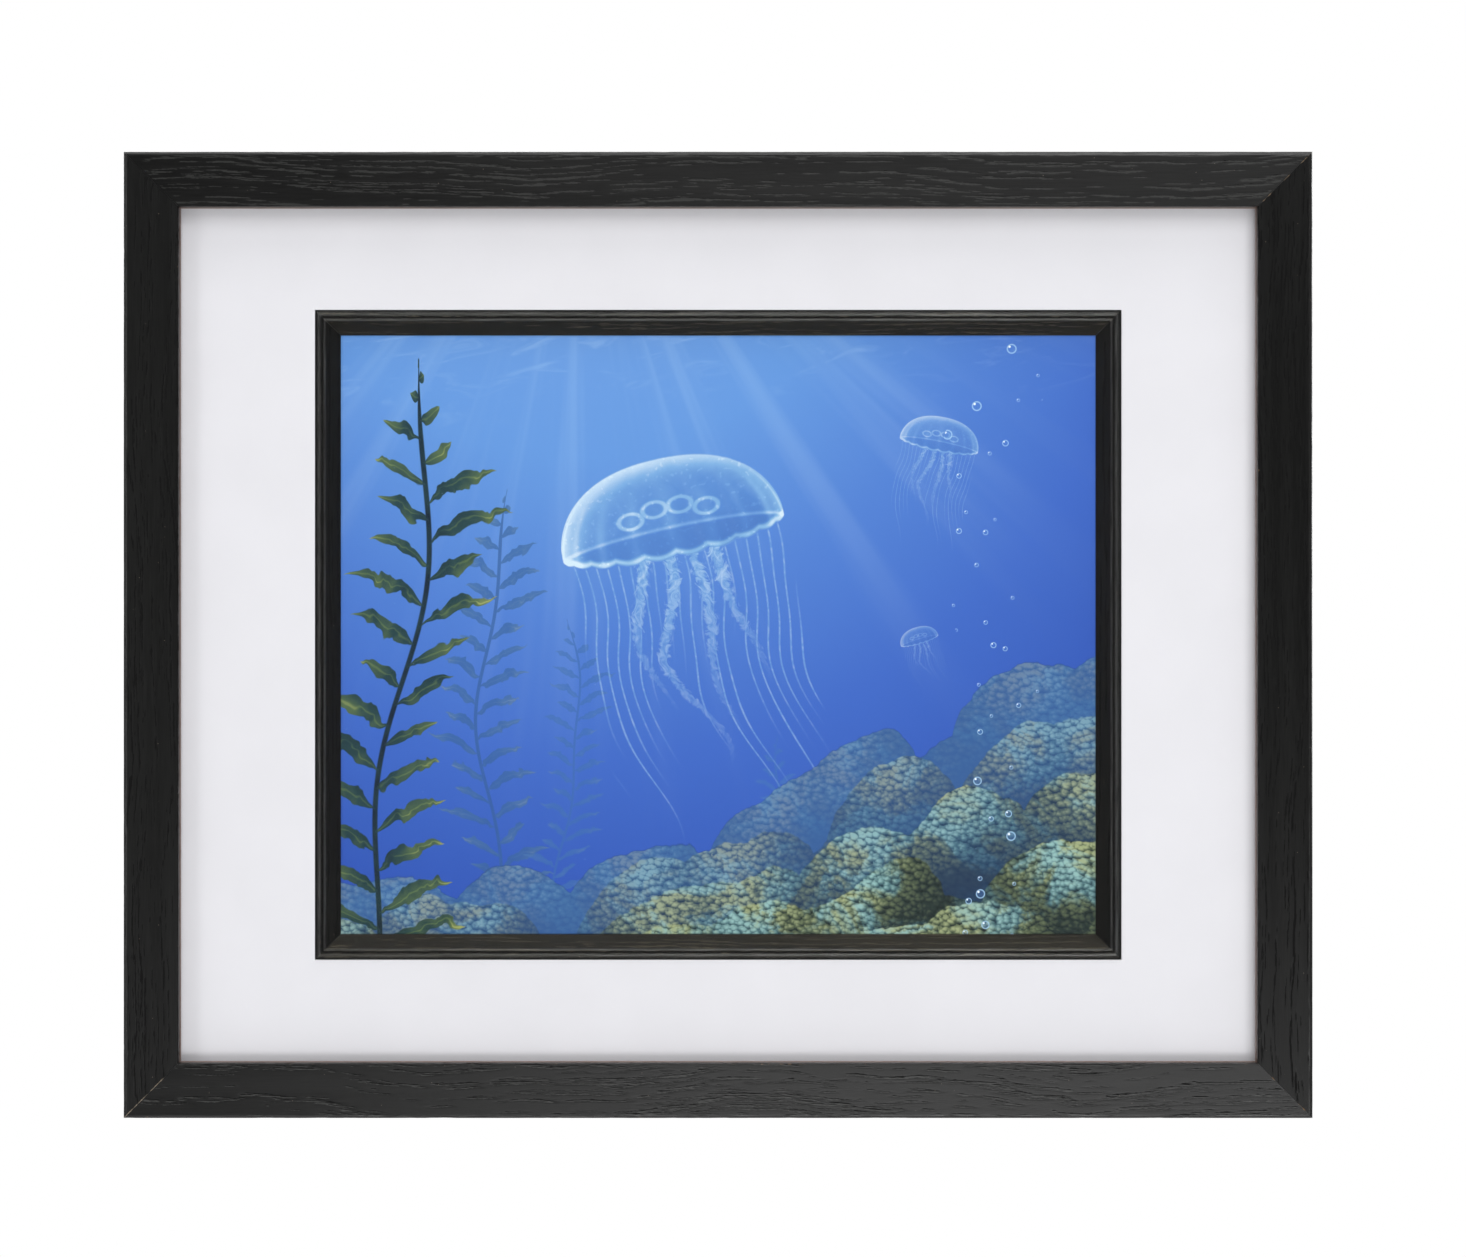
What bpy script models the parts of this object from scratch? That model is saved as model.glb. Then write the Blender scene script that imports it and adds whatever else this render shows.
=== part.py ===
"""A framed print for a 35 x 28 cm picture frame, hanging on a wall.

Black wood moulding with mitred corners, a white mat, a small black stepped slip round the picture
opening, the print, clear glazing, a hardboard back held by flexible tabs, and a sawtooth hanger.

Units are metres, +Z is up, and the picture faces -Y. The wall is the plane y = 0. The origin is the
middle of the hanger's wall side. Inside the empty "framed_picture" the pieces are laid out from the
frame's centre, with y as the depth behind the front of the moulding.
"""

import math

import bmesh
import bpy
from mathutils import Matrix, Vector

MM = 0.001

# Driving sizes of the moulding.
FRAME_SIZE = (350 * MM, 280 * MM)  # the glazing size that the frame is sold by
RABBET_PLAY = 1 * MM  # how much the rabbet opening is larger than the glazing size
LIP_OVERLAP = 6.05 * MM  # the lip's width in front of the glazing
FACE = 17.55 * MM  # width of the moulding seen from the front
DEPTH = 20 * MM  # moulding, front to back
LIP_THICKNESS = 4 * MM
LIP_SLOPE = 0.3 * MM  # how far the lip's inner wall leans in from front to back
OUTER_RADIUS = 1.2 * MM  # the rounded outer arris
EASED = 0.4 * MM  # the other arrises
ARC_STEPS = 6

# Driving sizes of what lies in the rabbet, from front to back.
GAP = 0.3 * MM  # air between two pieces that meet
GLAZING_THICKNESS = 2 * MM
MAT_THICKNESS = 1.4 * MM
FLANGE_THICKNESS = 1.8 * MM
PRINT_THICKNESS = 0.3 * MM
BACKING_THICKNESS = 3 * MM
SHEET_PLAY = 1.5 * MM  # how much a loose sheet is smaller than the rabbet opening
PRINT_SIZE = (280 * MM, 220 * MM)

# Driving sizes of the slip, which is the small frame round the picture opening.
PICTURE_OPENING = (239.7 * MM, 190.1 * MM)
SLIP_FACE = 7.5 * MM
SLIP_RISE = 0.8 * MM  # both crests, above the mat
SLIP_GROOVE = 0.3 * MM  # the groove's floor, above the mat
SLIP_DROP = 3.2 * MM  # the toe at the picture, below the mat
SLIP_FLANGE = 5 * MM  # hidden strip behind the mat

# Driving sizes of the fixings on the back.
STAND_OFF = 3 * MM  # from the moulding's back to the wall
TAB_SIZE = (8 * MM, 14 * MM, 0.5 * MM)  # width, length, thickness
TAB_BURIED = 6 * MM  # the length that is driven into the moulding
TABS_LONG, TABS_SHORT = 3, 2  # on each long and each short rail
WEDGE_LEG, WEDGE_HEIGHT, WEDGE_THICKNESS = 5 * MM, 7 * MM, 0.6 * MM
HANGER_LENGTH, HANGER_WIDTH, HANGER_THICKNESS = 46 * MM, 8.4 * MM, 0.8 * MM
HANGER_BRIDGE = 28 * MM  # the raised middle that carries the teeth
HANGER_RAMP = 3 * MM  # the bent part at each end of the bridge
TOOTH_COUNT, TOOTH_HEIGHT = 9, 1.6 * MM
NAIL_RADIUS, NAIL_LENGTH = 0.6 * MM, 8 * MM
NAIL_HEAD_RADIUS, NAIL_HEAD_THICKNESS = 1.6 * MM, 0.7 * MM
NAIL_SPACING = 40 * MM
BUMPER_RADIUS, BUMPER_ROUND = 4.5 * MM, 0.9 * MM
BUMPER_INSET = 30 * MM  # from the frame's side to the bumper's centre

# Sizes that follow.
RABBET = tuple(side + RABBET_PLAY for side in FRAME_SIZE)
SIGHT = tuple(side - 2 * LIP_OVERLAP for side in RABBET)
OUTER = tuple(side + 2 * FACE for side in SIGHT)
SHEET = tuple(side - SHEET_PLAY for side in RABBET)
WINDOW = tuple(side + 2 * SLIP_FACE for side in PICTURE_OPENING)
BACK_WIDTH = FACE - LIP_OVERLAP  # the moulding's back, beside the rabbet
BACK_MIDDLE = LIP_OVERLAP + BACK_WIDTH / 2  # its middle, outward from the sight edge

GLAZING_FRONT = LIP_THICKNESS + GAP
MAT_FRONT = GLAZING_FRONT + GLAZING_THICKNESS + GAP + SLIP_RISE
FLANGE_FRONT = MAT_FRONT + MAT_THICKNESS + GAP
PRINT_FRONT = FLANGE_FRONT + FLANGE_THICKNESS + GAP
BACKING_FRONT = PRINT_FRONT + PRINT_THICKNESS + GAP
TAB_FRONT = BACKING_FRONT + BACKING_THICKNESS + GAP

# The frame's centre, seen from the hanger in the middle of the top rail's back.
CENTRE = Vector((0, -STAND_OFF - DEPTH, -(SIGHT[1] / 2 + BACK_MIDDLE)))

# name, turn about Y in quarter turns, index of the run in a (width, height) pair
RAIL_SIDES = (("top", 0, 0), ("right", 1, 1), ("bottom", 2, 0), ("left", 3, 1))
CORNERS = (("top_right", 1, 1), ("bottom_right", 1, -1), ("bottom_left", -1, -1), ("top_left", -1, 1))

FINISHES = {
    # name: (red, green, blue, roughness, metallic)
    "black_wood": (0.03, 0.03, 0.03, 0.5, 0.0),
    "mat_board": (0.80, 0.79, 0.83, 0.9, 0.0),
    "print_paper": (0.10, 0.25, 0.62, 0.35, 0.0),
    "clear_glass": (0.95, 0.97, 0.97, 0.05, 0.0),
    "hardboard": (0.33, 0.20, 0.11, 0.8, 0.0),
    "zinc_steel": (0.62, 0.63, 0.65, 0.35, 1.0),
    "soft_rubber": (0.05, 0.05, 0.05, 0.85, 0.0),
}


def clear_scene():
    """Removes every object, so that the script starts from an empty scene."""
    for found in list(bpy.data.objects):
        bpy.data.objects.remove(found)


def collection(name):
    """A new collection in the scene."""
    made = bpy.data.collections.new(name)
    bpy.context.scene.collection.children.link(made)
    return made


def material(name):
    """The Principled material of that finish, made once."""
    found = bpy.data.materials.get(name)
    if found:
        return found
    red, green, blue, roughness, metallic = FINISHES[name]
    made = bpy.data.materials.new(name)
    made.use_nodes = True
    shader = made.node_tree.nodes["Principled BSDF"]
    shader.inputs["Base Color"].default_value = (red, green, blue, 1)
    shader.inputs["Roughness"].default_value = roughness
    shader.inputs["Metallic"].default_value = metallic
    return made


def outline_curve(name, points, thickness):
    """A flat closed outline of (x, y) points, extruded to that thickness about its own plane."""
    curve = bpy.data.curves.new(name, "CURVE")
    curve.dimensions = "2D"
    curve.fill_mode = "BOTH"
    curve.extrude = thickness / 2
    spline = curve.splines.new("POLY")
    spline.points.add(len(points) - 1)
    for point, (x, y) in zip(spline.points, points):
        point.co = (x, y, 0, 1)
    spline.use_cyclic_u = True
    return bpy.data.objects.new(name, curve)


def welded_mesh(source, turn):
    """The source's evaluated shape as a bmesh with its caps welded on, turned by a matrix.

    The source is removed.
    """
    bpy.context.scene.collection.objects.link(source)
    bpy.context.view_layer.update()
    graph = bpy.context.evaluated_depsgraph_get()
    flat = bpy.data.meshes.new_from_object(source.evaluated_get(graph))
    shape = bmesh.new()
    shape.from_mesh(flat)
    bmesh.ops.remove_doubles(shape, verts=shape.verts, dist=0.001 * MM)
    bmesh.ops.transform(shape, matrix=turn, verts=shape.verts)
    bpy.data.objects.remove(source)
    bpy.data.meshes.remove(flat)
    return shape


def node(name, shape, finish, group, parent, quarter_turns=0):
    """A named object made from a bmesh, turned about Y round the frame's centre."""
    bmesh.ops.recalc_face_normals(shape, faces=shape.faces)
    mesh = bpy.data.meshes.new(name)
    shape.to_mesh(mesh)
    shape.free()
    made = bpy.data.objects.new(name, mesh)
    group.objects.link(made)
    made.parent = parent
    made.rotation_euler = (0, quarter_turns * math.pi / 2, 0)
    if finish:
        mesh.materials.append(material(finish))
        mesh.shade_smooth()
        mesh.set_sharp_from_angle(angle=math.radians(30))
    return made


def box_shape(size, middle):
    """A box as a bmesh."""
    shape = bmesh.new()
    bmesh.ops.create_cube(shape, size=1, matrix=Matrix.Translation(middle) @ Matrix.Diagonal((*size, 1)))
    return shape


def drum_shape(radius, front, back, x, z, sides=32):
    """A round bar along Y, from depth front to depth back."""
    place = Matrix.Translation((x, (front + back) / 2, z)) @ Matrix.Rotation(math.pi / 2, 4, "X")
    shape = bmesh.new()
    bmesh.ops.create_cone(
        shape,
        cap_ends=True,
        segments=sides,
        radius1=radius,
        radius2=radius,
        depth=back - front,
        matrix=place,
    )
    return shape


def arc(centre, radius, start_deg, end_deg):
    """Points of an arc in a moulding's section."""
    steps = range(ARC_STEPS + 1)
    turns = (math.radians(start_deg + (end_deg - start_deg) * i / ARC_STEPS) for i in steps)
    return [(centre[0] + radius * math.cos(t), centre[1] + radius * math.sin(t)) for t in turns]


def moulding_section():
    """The moulding cut across: x runs outward from the sight edge, y is the depth."""
    return [
        (0, LIP_THICKNESS),
        (LIP_SLOPE, EASED),
        (LIP_SLOPE + EASED, 0),
        *arc((FACE - OUTER_RADIUS, OUTER_RADIUS), OUTER_RADIUS, -90, 0),
        (FACE, DEPTH - EASED),
        (FACE - EASED, DEPTH),
        (LIP_OVERLAP, DEPTH),
        (LIP_OVERLAP, LIP_THICKNESS),
    ]


def slip_section():
    """The slip cut across, from its toe at the picture out to the flange behind the mat.

    A long slope climbs from the toe to the inner crest, then come a hollow groove and the outer
    crest, whose chamfer drops to the mat's window.
    """
    crest = MAT_FRONT - SLIP_RISE
    groove = MAT_FRONT - SLIP_GROOVE
    toe = MAT_FRONT + SLIP_DROP
    back = FLANGE_FRONT + FLANGE_THICKNESS
    inner_crest, groove_floor, outer_crest = 0.61 * SLIP_FACE, 0.71 * SLIP_FACE, 0.84 * SLIP_FACE
    land = 0.2 * MM  # half the width of each flat: the crests' tops and the groove's floor
    return [
        (0, back),
        (0, toe),
        (inner_crest - land, crest),
        (inner_crest + land, crest),
        (groove_floor - land, groove),
        (groove_floor + land, groove),
        (outer_crest - land, crest),
        (outer_crest + land, crest),
        (SLIP_FACE, MAT_FRONT - SLIP_GROOVE / 2),
        (SLIP_FACE, FLANGE_FRONT),
        (SLIP_FACE + SLIP_FLANGE, FLANGE_FRONT),
        (SLIP_FACE + SLIP_FLANGE, back),
    ]


def mitred_strip(name, section, half_run, half_across):
    """One side of a mitred frame, built as the top side: its section swept along X and cut at 45 degrees.

    half_run is half the opening along the strip, and half_across half the opening across it.
    """
    reach = max(x for x, _ in section)
    length = 2 * (half_run + 2 * reach)
    # The outline's x becomes Z, its y stays Y, and the extrusion runs along X.
    turn = Matrix.Translation((0, 0, half_across)) @ Matrix(
        ((0, 0, -1, 0), (0, 1, 0, 0), (1, 0, 0, 0), (0, 0, 0, 1))
    )
    shape = welded_mesh(outline_curve(name, section, length), turn)
    for end in (-1, 1):
        normal = Vector((end, 0, -1)).normalized()
        corner = Vector((end * half_run, 0, half_across))
        bmesh.ops.bisect_plane(
            shape,
            geom=[*shape.verts, *shape.edges, *shape.faces],
            dist=0.0001 * MM,
            plane_co=corner - normal * GAP / 2,
            plane_no=normal,
            clear_outer=True,
        )
        rim = [edge for edge in shape.edges if edge.is_boundary]
        bmesh.ops.contextual_create(shape, geom=rim)
    return shape


def cut(target, cutters):
    """Cuts each cutter from the target with an exact Boolean."""
    for cutter in cutters:
        step = target.modifiers.new("cut_" + cutter.name, "BOOLEAN")
        step.operation = "DIFFERENCE"
        step.solver = "EXACT"
        step.object = cutter


def cutter_object(name, shape, group, parent, quarter_turns=0):
    """A cutter: seen as wire and left out of renders."""
    made = node(name, shape, None, group, parent, quarter_turns)
    made.hide_render = True
    made.display_type = "WIRE"
    return made


def tab_places():
    """(side, quarter turns, half across, position along the rail) of each tab."""
    for side, turns, run in RAIL_SIDES:
        count = (TABS_LONG, TABS_SHORT)[run]
        for i in range(count):
            yield side, turns, RABBET[1 - run] / 2, RABBET[run] * ((i + 0.5) / count - 0.5)


def tab_shape(along, half_across, grow=0.0):
    """A flexible tab, or with grow its slot: a tongue with a pointed free end, on the backing."""
    width, length, thickness = TAB_SIZE
    half = width / 2 + grow
    root = TAB_BURIED + grow
    free = TAB_BURIED - length - grow
    shoulder = free + 0.45 * width
    outline = [
        (along - half, root),
        (along - half, shoulder),
        (along - 0.25 * width, free),
        (along + 0.25 * width, free),
        (along + half, shoulder),
        (along + half, root),
    ]
    # The outline's x stays X, its y becomes Z, and the thickness runs along Y.
    middle = Matrix.Translation((0, TAB_FRONT + thickness / 2, half_across))
    turn = middle @ Matrix.Rotation(math.pi / 2, 4, "X")
    return welded_mesh(outline_curve("tab", outline, thickness + 2 * grow), turn)


def wedge_shape(right, up, grow=0.0):
    """The corner wedge that joins two rails, or with grow its slot: an L driven in from the back."""
    thick = WEDGE_THICKNESS
    tip = -WEDGE_LEG - grow
    outline = [(grow, grow), (tip, grow), (tip, -thick - grow), (-thick - grow, -thick - grow)]
    outline += [(-thick - grow, tip), (grow, tip)]
    spot = [sight / 2 + BACK_MIDDLE + WEDGE_LEG / 3 for sight in SIGHT]
    placed = [(right * (spot[0] + x), up * (spot[1] + z)) for x, z in outline]
    depth = WEDGE_HEIGHT + 2 * grow
    turn = Matrix.Translation((0, DEPTH - WEDGE_HEIGHT / 2, 0)) @ Matrix.Rotation(math.pi / 2, 4, "X")
    return welded_mesh(outline_curve("wedge", placed, depth), turn)


def nail_places():
    """(name, x, z) of the hanger's nails, from the frame's centre."""
    return (("left", -NAIL_SPACING / 2, -CENTRE.z), ("right", NAIL_SPACING / 2, -CENTRE.z))


def make_cutters(group, parent):
    """The cutters, as a dictionary from a rail's side to the cutters that it takes."""
    cutters = {side: [] for side, _, _ in RAIL_SIDES}
    for number, (side, turns, half_across, along) in enumerate(tab_places()):
        slot = tab_shape(along, half_across, GAP)
        cutters[side].append(cutter_object(f"tab_slot_{number}", slot, group, parent, turns))
    for corner, right, up in CORNERS:
        slot = cutter_object(f"wedge_slot_{corner}", wedge_shape(right, up, GAP), group, parent)
        cutters["right" if right > 0 else "left"].append(slot)
        cutters["top" if up > 0 else "bottom"].append(slot)
    for side, x, z in nail_places():
        hole = drum_shape(NAIL_RADIUS + GAP, DEPTH - NAIL_LENGTH, DEPTH + STAND_OFF, x, z)
        cutters["top"].append(cutter_object(f"nail_hole_{side}", hole, group, parent))
    return cutters


def make_rails(group, parent, cutters):
    """The four mitred rails of the moulding."""
    for side, turns, run in RAIL_SIDES:
        shape = mitred_strip(side, moulding_section(), SIGHT[run] / 2, SIGHT[1 - run] / 2)
        rail = node(f"rail_{side}", shape, "black_wood", group, parent, turns)
        cut(rail, cutters[side])


def make_slip(group, parent):
    """The four mitred strips of the slip."""
    for side, turns, run in RAIL_SIDES:
        halves = PICTURE_OPENING[run] / 2, PICTURE_OPENING[1 - run] / 2
        shape = mitred_strip(side, slip_section(), *halves)
        node(f"slip_{side}", shape, "black_wood", group, parent, turns)


def make_sheet(name, size, front, thickness, finish, group, parent):
    """A flat sheet in the rabbet."""
    shape = box_shape((size[0], thickness, size[1]), (0, front + thickness / 2, 0))
    return node(name, shape, finish, group, parent)


def make_rabbet_filling(group, parent, cutter_group):
    """Glazing, mat with its window, print and backing."""
    make_sheet("glazing", SHEET, GLAZING_FRONT, GLAZING_THICKNESS, "clear_glass", group, parent)
    mat = make_sheet("mat", SHEET, MAT_FRONT, MAT_THICKNESS, "mat_board", group, parent)
    window = (WINDOW[0] + 2 * GAP, 3 * MAT_THICKNESS, WINDOW[1] + 2 * GAP)
    opening = box_shape(window, (0, MAT_FRONT + MAT_THICKNESS / 2, 0))
    cut(mat, [cutter_object("mat_window", opening, cutter_group, parent)])
    make_sheet("print_sheet", PRINT_SIZE, PRINT_FRONT, PRINT_THICKNESS, "print_paper", group, parent)
    make_sheet("backing", SHEET, BACKING_FRONT, BACKING_THICKNESS, "hardboard", group, parent)


def make_tabs(group, parent):
    """The flexible tabs that hold the backing."""
    counts = {side: 0 for side, _, _ in RAIL_SIDES}
    for side, turns, half_across, along in tab_places():
        counts[side] += 1
        shape = tab_shape(along, half_across)
        node(f"tab_{side}_{counts[side]}", shape, "zinc_steel", group, parent, turns)


def make_wedges(group, parent):
    """The wedges that join the corners."""
    for corner, right, up in CORNERS:
        node(f"wedge_{corner}", wedge_shape(right, up), "zinc_steel", group, parent)


def hanger_outline():
    """The hanger's flat plate, with teeth below its bridge and corners where it bends."""
    half, bridge, width = HANGER_LENGTH / 2, HANGER_BRIDGE / 2, HANGER_WIDTH / 2
    foot = bridge + HANGER_RAMP
    pitch = HANGER_BRIDGE / TOOTH_COUNT
    teeth = []
    for i in range(TOOTH_COUNT):
        low = -bridge + pitch * i
        teeth += [(low, -width), (low + pitch / 2, -width + TOOTH_HEIGHT)]
    return [
        (-half, -width),
        (-foot, -width),
        *teeth,
        (bridge, -width),
        (foot, -width),
        (half, -width),
        (half, width),
        (foot, width),
        (bridge, width),
        (-bridge, width),
        (-foot, width),
        (-half, width),
    ]


def hanger_lift(x):
    """How far the plate stands off its feet at that place along it."""
    rise = STAND_OFF - HANGER_THICKNESS - GAP
    into_ramp = (HANGER_BRIDGE / 2 + HANGER_RAMP - abs(x)) / HANGER_RAMP
    return rise * min(max(into_ramp, 0), 1)


def make_hanger(group, parent, cutter_group):
    """The sawtooth hanger with its bent feet, and the two nails through them."""
    plate = bmesh.new()
    corners = [plate.verts.new((x, 0, z)) for x, z in hanger_outline()]
    plate.faces.new(corners)
    for bend in (HANGER_BRIDGE / 2, HANGER_BRIDGE / 2 + HANGER_RAMP):
        for side in (-1, 1):
            bmesh.ops.bisect_plane(
                plate,
                geom=[*plate.verts, *plate.edges, *plate.faces],
                dist=0.001 * MM,
                plane_co=(side * bend, 0, 0),
                plane_no=(1, 0, 0),
            )
    for corner in plate.verts:
        corner.co += Vector((0, DEPTH + GAP + hanger_lift(corner.co.x), -CENTRE.z))
    thickened = bmesh.ops.extrude_face_region(plate, geom=plate.faces)["geom"]
    raised = [part for part in thickened if isinstance(part, bmesh.types.BMVert)]
    bmesh.ops.translate(plate, vec=(0, HANGER_THICKNESS, 0), verts=raised)
    hanger = node("hanger", plate, "zinc_steel", group, parent)
    head_front = DEPTH + 2 * GAP + HANGER_THICKNESS
    for side, x, z in nail_places():
        hole = drum_shape(NAIL_RADIUS + GAP, DEPTH - STAND_OFF, DEPTH + 2 * STAND_OFF, x, z)
        cut(hanger, [cutter_object(f"hanger_hole_{side}", hole, cutter_group, parent)])
        into_head = head_front + NAIL_HEAD_THICKNESS / 2
        nail = drum_shape(NAIL_RADIUS, DEPTH - NAIL_LENGTH + GAP, into_head, x, z)
        made = node(f"nail_{side}", nail, "zinc_steel", group, parent)
        head = drum_shape(NAIL_HEAD_RADIUS, head_front, head_front + NAIL_HEAD_THICKNESS, x, z)
        joined = cutter_object(f"nail_head_{side}", head, cutter_group, parent)
        step = made.modifiers.new("head", "BOOLEAN")
        step.operation = "UNION"
        step.solver = "EXACT"
        step.object = joined


def make_bumpers(group, parent):
    """The soft buttons that keep the frame's lower edge off the wall."""
    z = -(SIGHT[1] / 2 + BACK_MIDDLE)
    for side, sign in (("left", -1), ("right", 1)):
        x = sign * (OUTER[0] / 2 - BUMPER_INSET)
        button = drum_shape(BUMPER_RADIUS, DEPTH + GAP, DEPTH + STAND_OFF, x, z)
        rim = [edge for edge in button.edges if all(v.co.y > DEPTH + STAND_OFF / 2 for v in edge.verts)]
        bmesh.ops.bevel(button, geom=rim, offset=BUMPER_ROUND, segments=4, profile=0.5, affect="EDGES")
        node(f"bumper_{side}", button, "soft_rubber", group, parent)


def main():
    """Builds the framed print."""
    clear_scene()
    parts = collection("framed_picture")
    helpers = collection("cutters")
    whole = bpy.data.objects.new("framed_picture", None)
    parts.objects.link(whole)
    whole.location = CENTRE
    make_rails(parts, whole, make_cutters(helpers, whole))
    make_slip(parts, whole)
    make_rabbet_filling(parts, whole, helpers)
    make_tabs(parts, whole)
    make_wedges(parts, whole)
    make_hanger(parts, whole, helpers)
    make_bumpers(parts, whole)
    bpy.context.view_layer.update()


main()
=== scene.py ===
"""Looks of a framed print: black open-pored wood, white mat, stepped slip, print, glass and back.

Lengths are metres, +Z is up, and the picture faces -Y. The long pieces are modelled lying along X as
the top side of the frame, round the frame's centre, with Y as the depth behind the moulding's front.
They are then turned to their own side and put in place.
"""

import logging
import math
from collections.abc import Callable, Iterator, Sequence
from contextlib import contextmanager
from dataclasses import dataclass, field
from enum import Enum
from functools import partial, reduce
from typing import NamedTuple

import bmesh
import bpy
import numpy as np
from mathutils import Matrix, Vector


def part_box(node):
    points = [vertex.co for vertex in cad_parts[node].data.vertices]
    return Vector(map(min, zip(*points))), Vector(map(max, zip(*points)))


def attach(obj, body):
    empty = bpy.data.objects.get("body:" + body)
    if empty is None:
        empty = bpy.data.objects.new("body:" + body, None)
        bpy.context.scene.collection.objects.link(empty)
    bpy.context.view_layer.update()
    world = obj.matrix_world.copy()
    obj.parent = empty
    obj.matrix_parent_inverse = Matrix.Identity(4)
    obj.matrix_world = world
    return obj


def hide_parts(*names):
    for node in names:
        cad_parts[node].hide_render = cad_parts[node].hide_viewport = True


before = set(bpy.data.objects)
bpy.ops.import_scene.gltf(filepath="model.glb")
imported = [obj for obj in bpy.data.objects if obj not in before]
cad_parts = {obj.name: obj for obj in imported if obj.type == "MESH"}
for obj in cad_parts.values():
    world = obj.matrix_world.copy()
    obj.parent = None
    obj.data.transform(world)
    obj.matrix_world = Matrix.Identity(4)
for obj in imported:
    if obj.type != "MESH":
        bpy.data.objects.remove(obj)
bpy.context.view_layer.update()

LOG = logging.getLogger("framed_print")
MM = 0.001
GAP = 0.3 * MM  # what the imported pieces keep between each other
TIGHT = 0.03 * MM  # the width of a closed mitre joint
HAIR = 0.01 * MM  # two lengths closer than this are the same
SKIN = 0.05 * MM  # how near a surface still counts as on it
GRAIN_MAP = "grain_map"
Colour = tuple[float, float, float]
Place = tuple[float, float, float]


class Corner(NamedTuple):
    """How a mitre joint has worn.

    Args:
        rubbing: how much of the joint is scuffed.
        warmth: 0 where pale filler shows in it, and 1 where raw wood does.
        whole: share of the joint, from the lip outward, that isn't scuffed.
    """

    rubbing: float
    warmth: float
    whole: float


CORNERS = (
    Corner(rubbing=0.5, warmth=0.45, whole=0.0),  # top right
    Corner(rubbing=0.45, warmth=1.0, whole=0.1),  # bottom right
    Corner(rubbing=0.68, warmth=0.1, whole=0.36),  # bottom left
    Corner(rubbing=0.0, warmth=0.5, whole=0.0),  # top left
)


class Side(Enum):
    """The four sides of the frame: quarter turns about Y from the top, and which opening size they span."""

    TOP = (0, 0)
    RIGHT = (1, 1)
    BOTTOM = (2, 0)
    LEFT = (3, 1)

    @property
    def turns(self) -> int:
        """Quarter turns about Y that bring the top side here."""
        return self.value[0]

    @property
    def run(self) -> int:
        """0 where the side spans the width, and 1 where it spans the height."""
        return self.value[1]

    @property
    def label(self) -> str:
        """The side's name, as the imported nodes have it."""
        return self.name.lower()


# ---------------------------------------------------------------- layout


@dataclass(frozen=True)
class Layout:
    """Sizes and places that the pieces share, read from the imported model.

    Args:
        centre: middle of the moulding's front plane.
        outer: outer width and height of the moulding.
        sight: width and height of the opening at the lip.
        depth: the moulding, front to back.
        mat_front: the mat's face, behind the moulding's front.
        mat_back: the mat's back, behind the moulding's front.
        picture: width and height of the slip's opening.
    """

    centre: Vector
    outer: tuple[float, float]
    sight: tuple[float, float]
    depth: float
    mat_front: float
    mat_back: float
    picture: tuple[float, float]

    @staticmethod
    def read() -> "Layout":
        """Measures the loaded model.

        Returns:
            Its layout.
        """
        top_low, top_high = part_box("rail_top")
        bottom_low, bottom_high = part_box("rail_bottom")
        left_low, left_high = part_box("rail_left")
        right_low, right_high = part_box("rail_right")
        mat_low, mat_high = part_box("mat")
        centre = Vector((
            (left_low.x + right_high.x) / 2,
            top_low.y,
            (bottom_low.z + top_high.z) / 2,
        ))
        slips = {side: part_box(f"slip_{side.label}") for side in Side}
        return Layout(
            centre=centre,
            outer=(right_high.x - left_low.x, top_high.z - bottom_low.z),
            sight=(right_low.x - left_high.x, top_low.z - bottom_high.z),
            depth=top_high.y - top_low.y,
            mat_front=mat_low.y - centre.y,
            mat_back=mat_high.y - centre.y,
            picture=(
                slips[Side.RIGHT][0].x - slips[Side.LEFT][1].x,
                slips[Side.TOP][0].z - slips[Side.BOTTOM][1].z,
            ),
        )

    def placed(self, side: Side) -> Matrix:
        """Turns a piece modelled as the top side to its own side and puts it in place."""
        return Matrix.Translation(self.centre) @ Matrix.Rotation(side.turns * math.pi / 2, 4, "Y")


# ---------------------------------------------------------------- modelling tools


def deselect() -> None:
    """Leaves no object selected."""
    for item in bpy.context.selected_objects:
        item.select_set(False)


def take(piece: bpy.types.Object) -> None:
    """Makes the piece the only selected object, and active.

    Args:
        piece: the object to take.
    """
    deselect()
    piece.select_set(True)
    bpy.context.view_layer.objects.active = piece


@contextmanager
def editing(piece: bpy.types.Object, mode: str = "FACE") -> Iterator[None]:
    """Works on the piece in edit mode, with nothing selected at the start.

    Args:
        piece: the mesh object to edit.
        mode: VERT, EDGE or FACE, which is what the operators select.
    """
    take(piece)
    bpy.ops.object.mode_set(mode="EDIT")
    bpy.ops.mesh.select_mode(type=mode)
    bpy.ops.mesh.select_all(action="DESELECT")
    try:
        yield
    finally:
        bpy.ops.object.mode_set(mode="OBJECT")


def pick_faces(piece: bpy.types.Object, test: Callable[[Vector, Vector], bool]) -> None:
    """Selects only the faces whose middle and normal pass the test.

    Args:
        piece: the object in edit mode.
        test: takes a face's middle and its normal.
    """
    bpy.ops.mesh.select_mode(type="FACE")
    bpy.ops.mesh.select_all(action="DESELECT")
    shape = bmesh.from_edit_mesh(piece.data)
    shape.normal_update()
    for face in shape.faces:
        if test(face.calc_center_median(), face.normal):
            face.select_set(True)
    bmesh.update_edit_mesh(piece.data)


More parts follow.
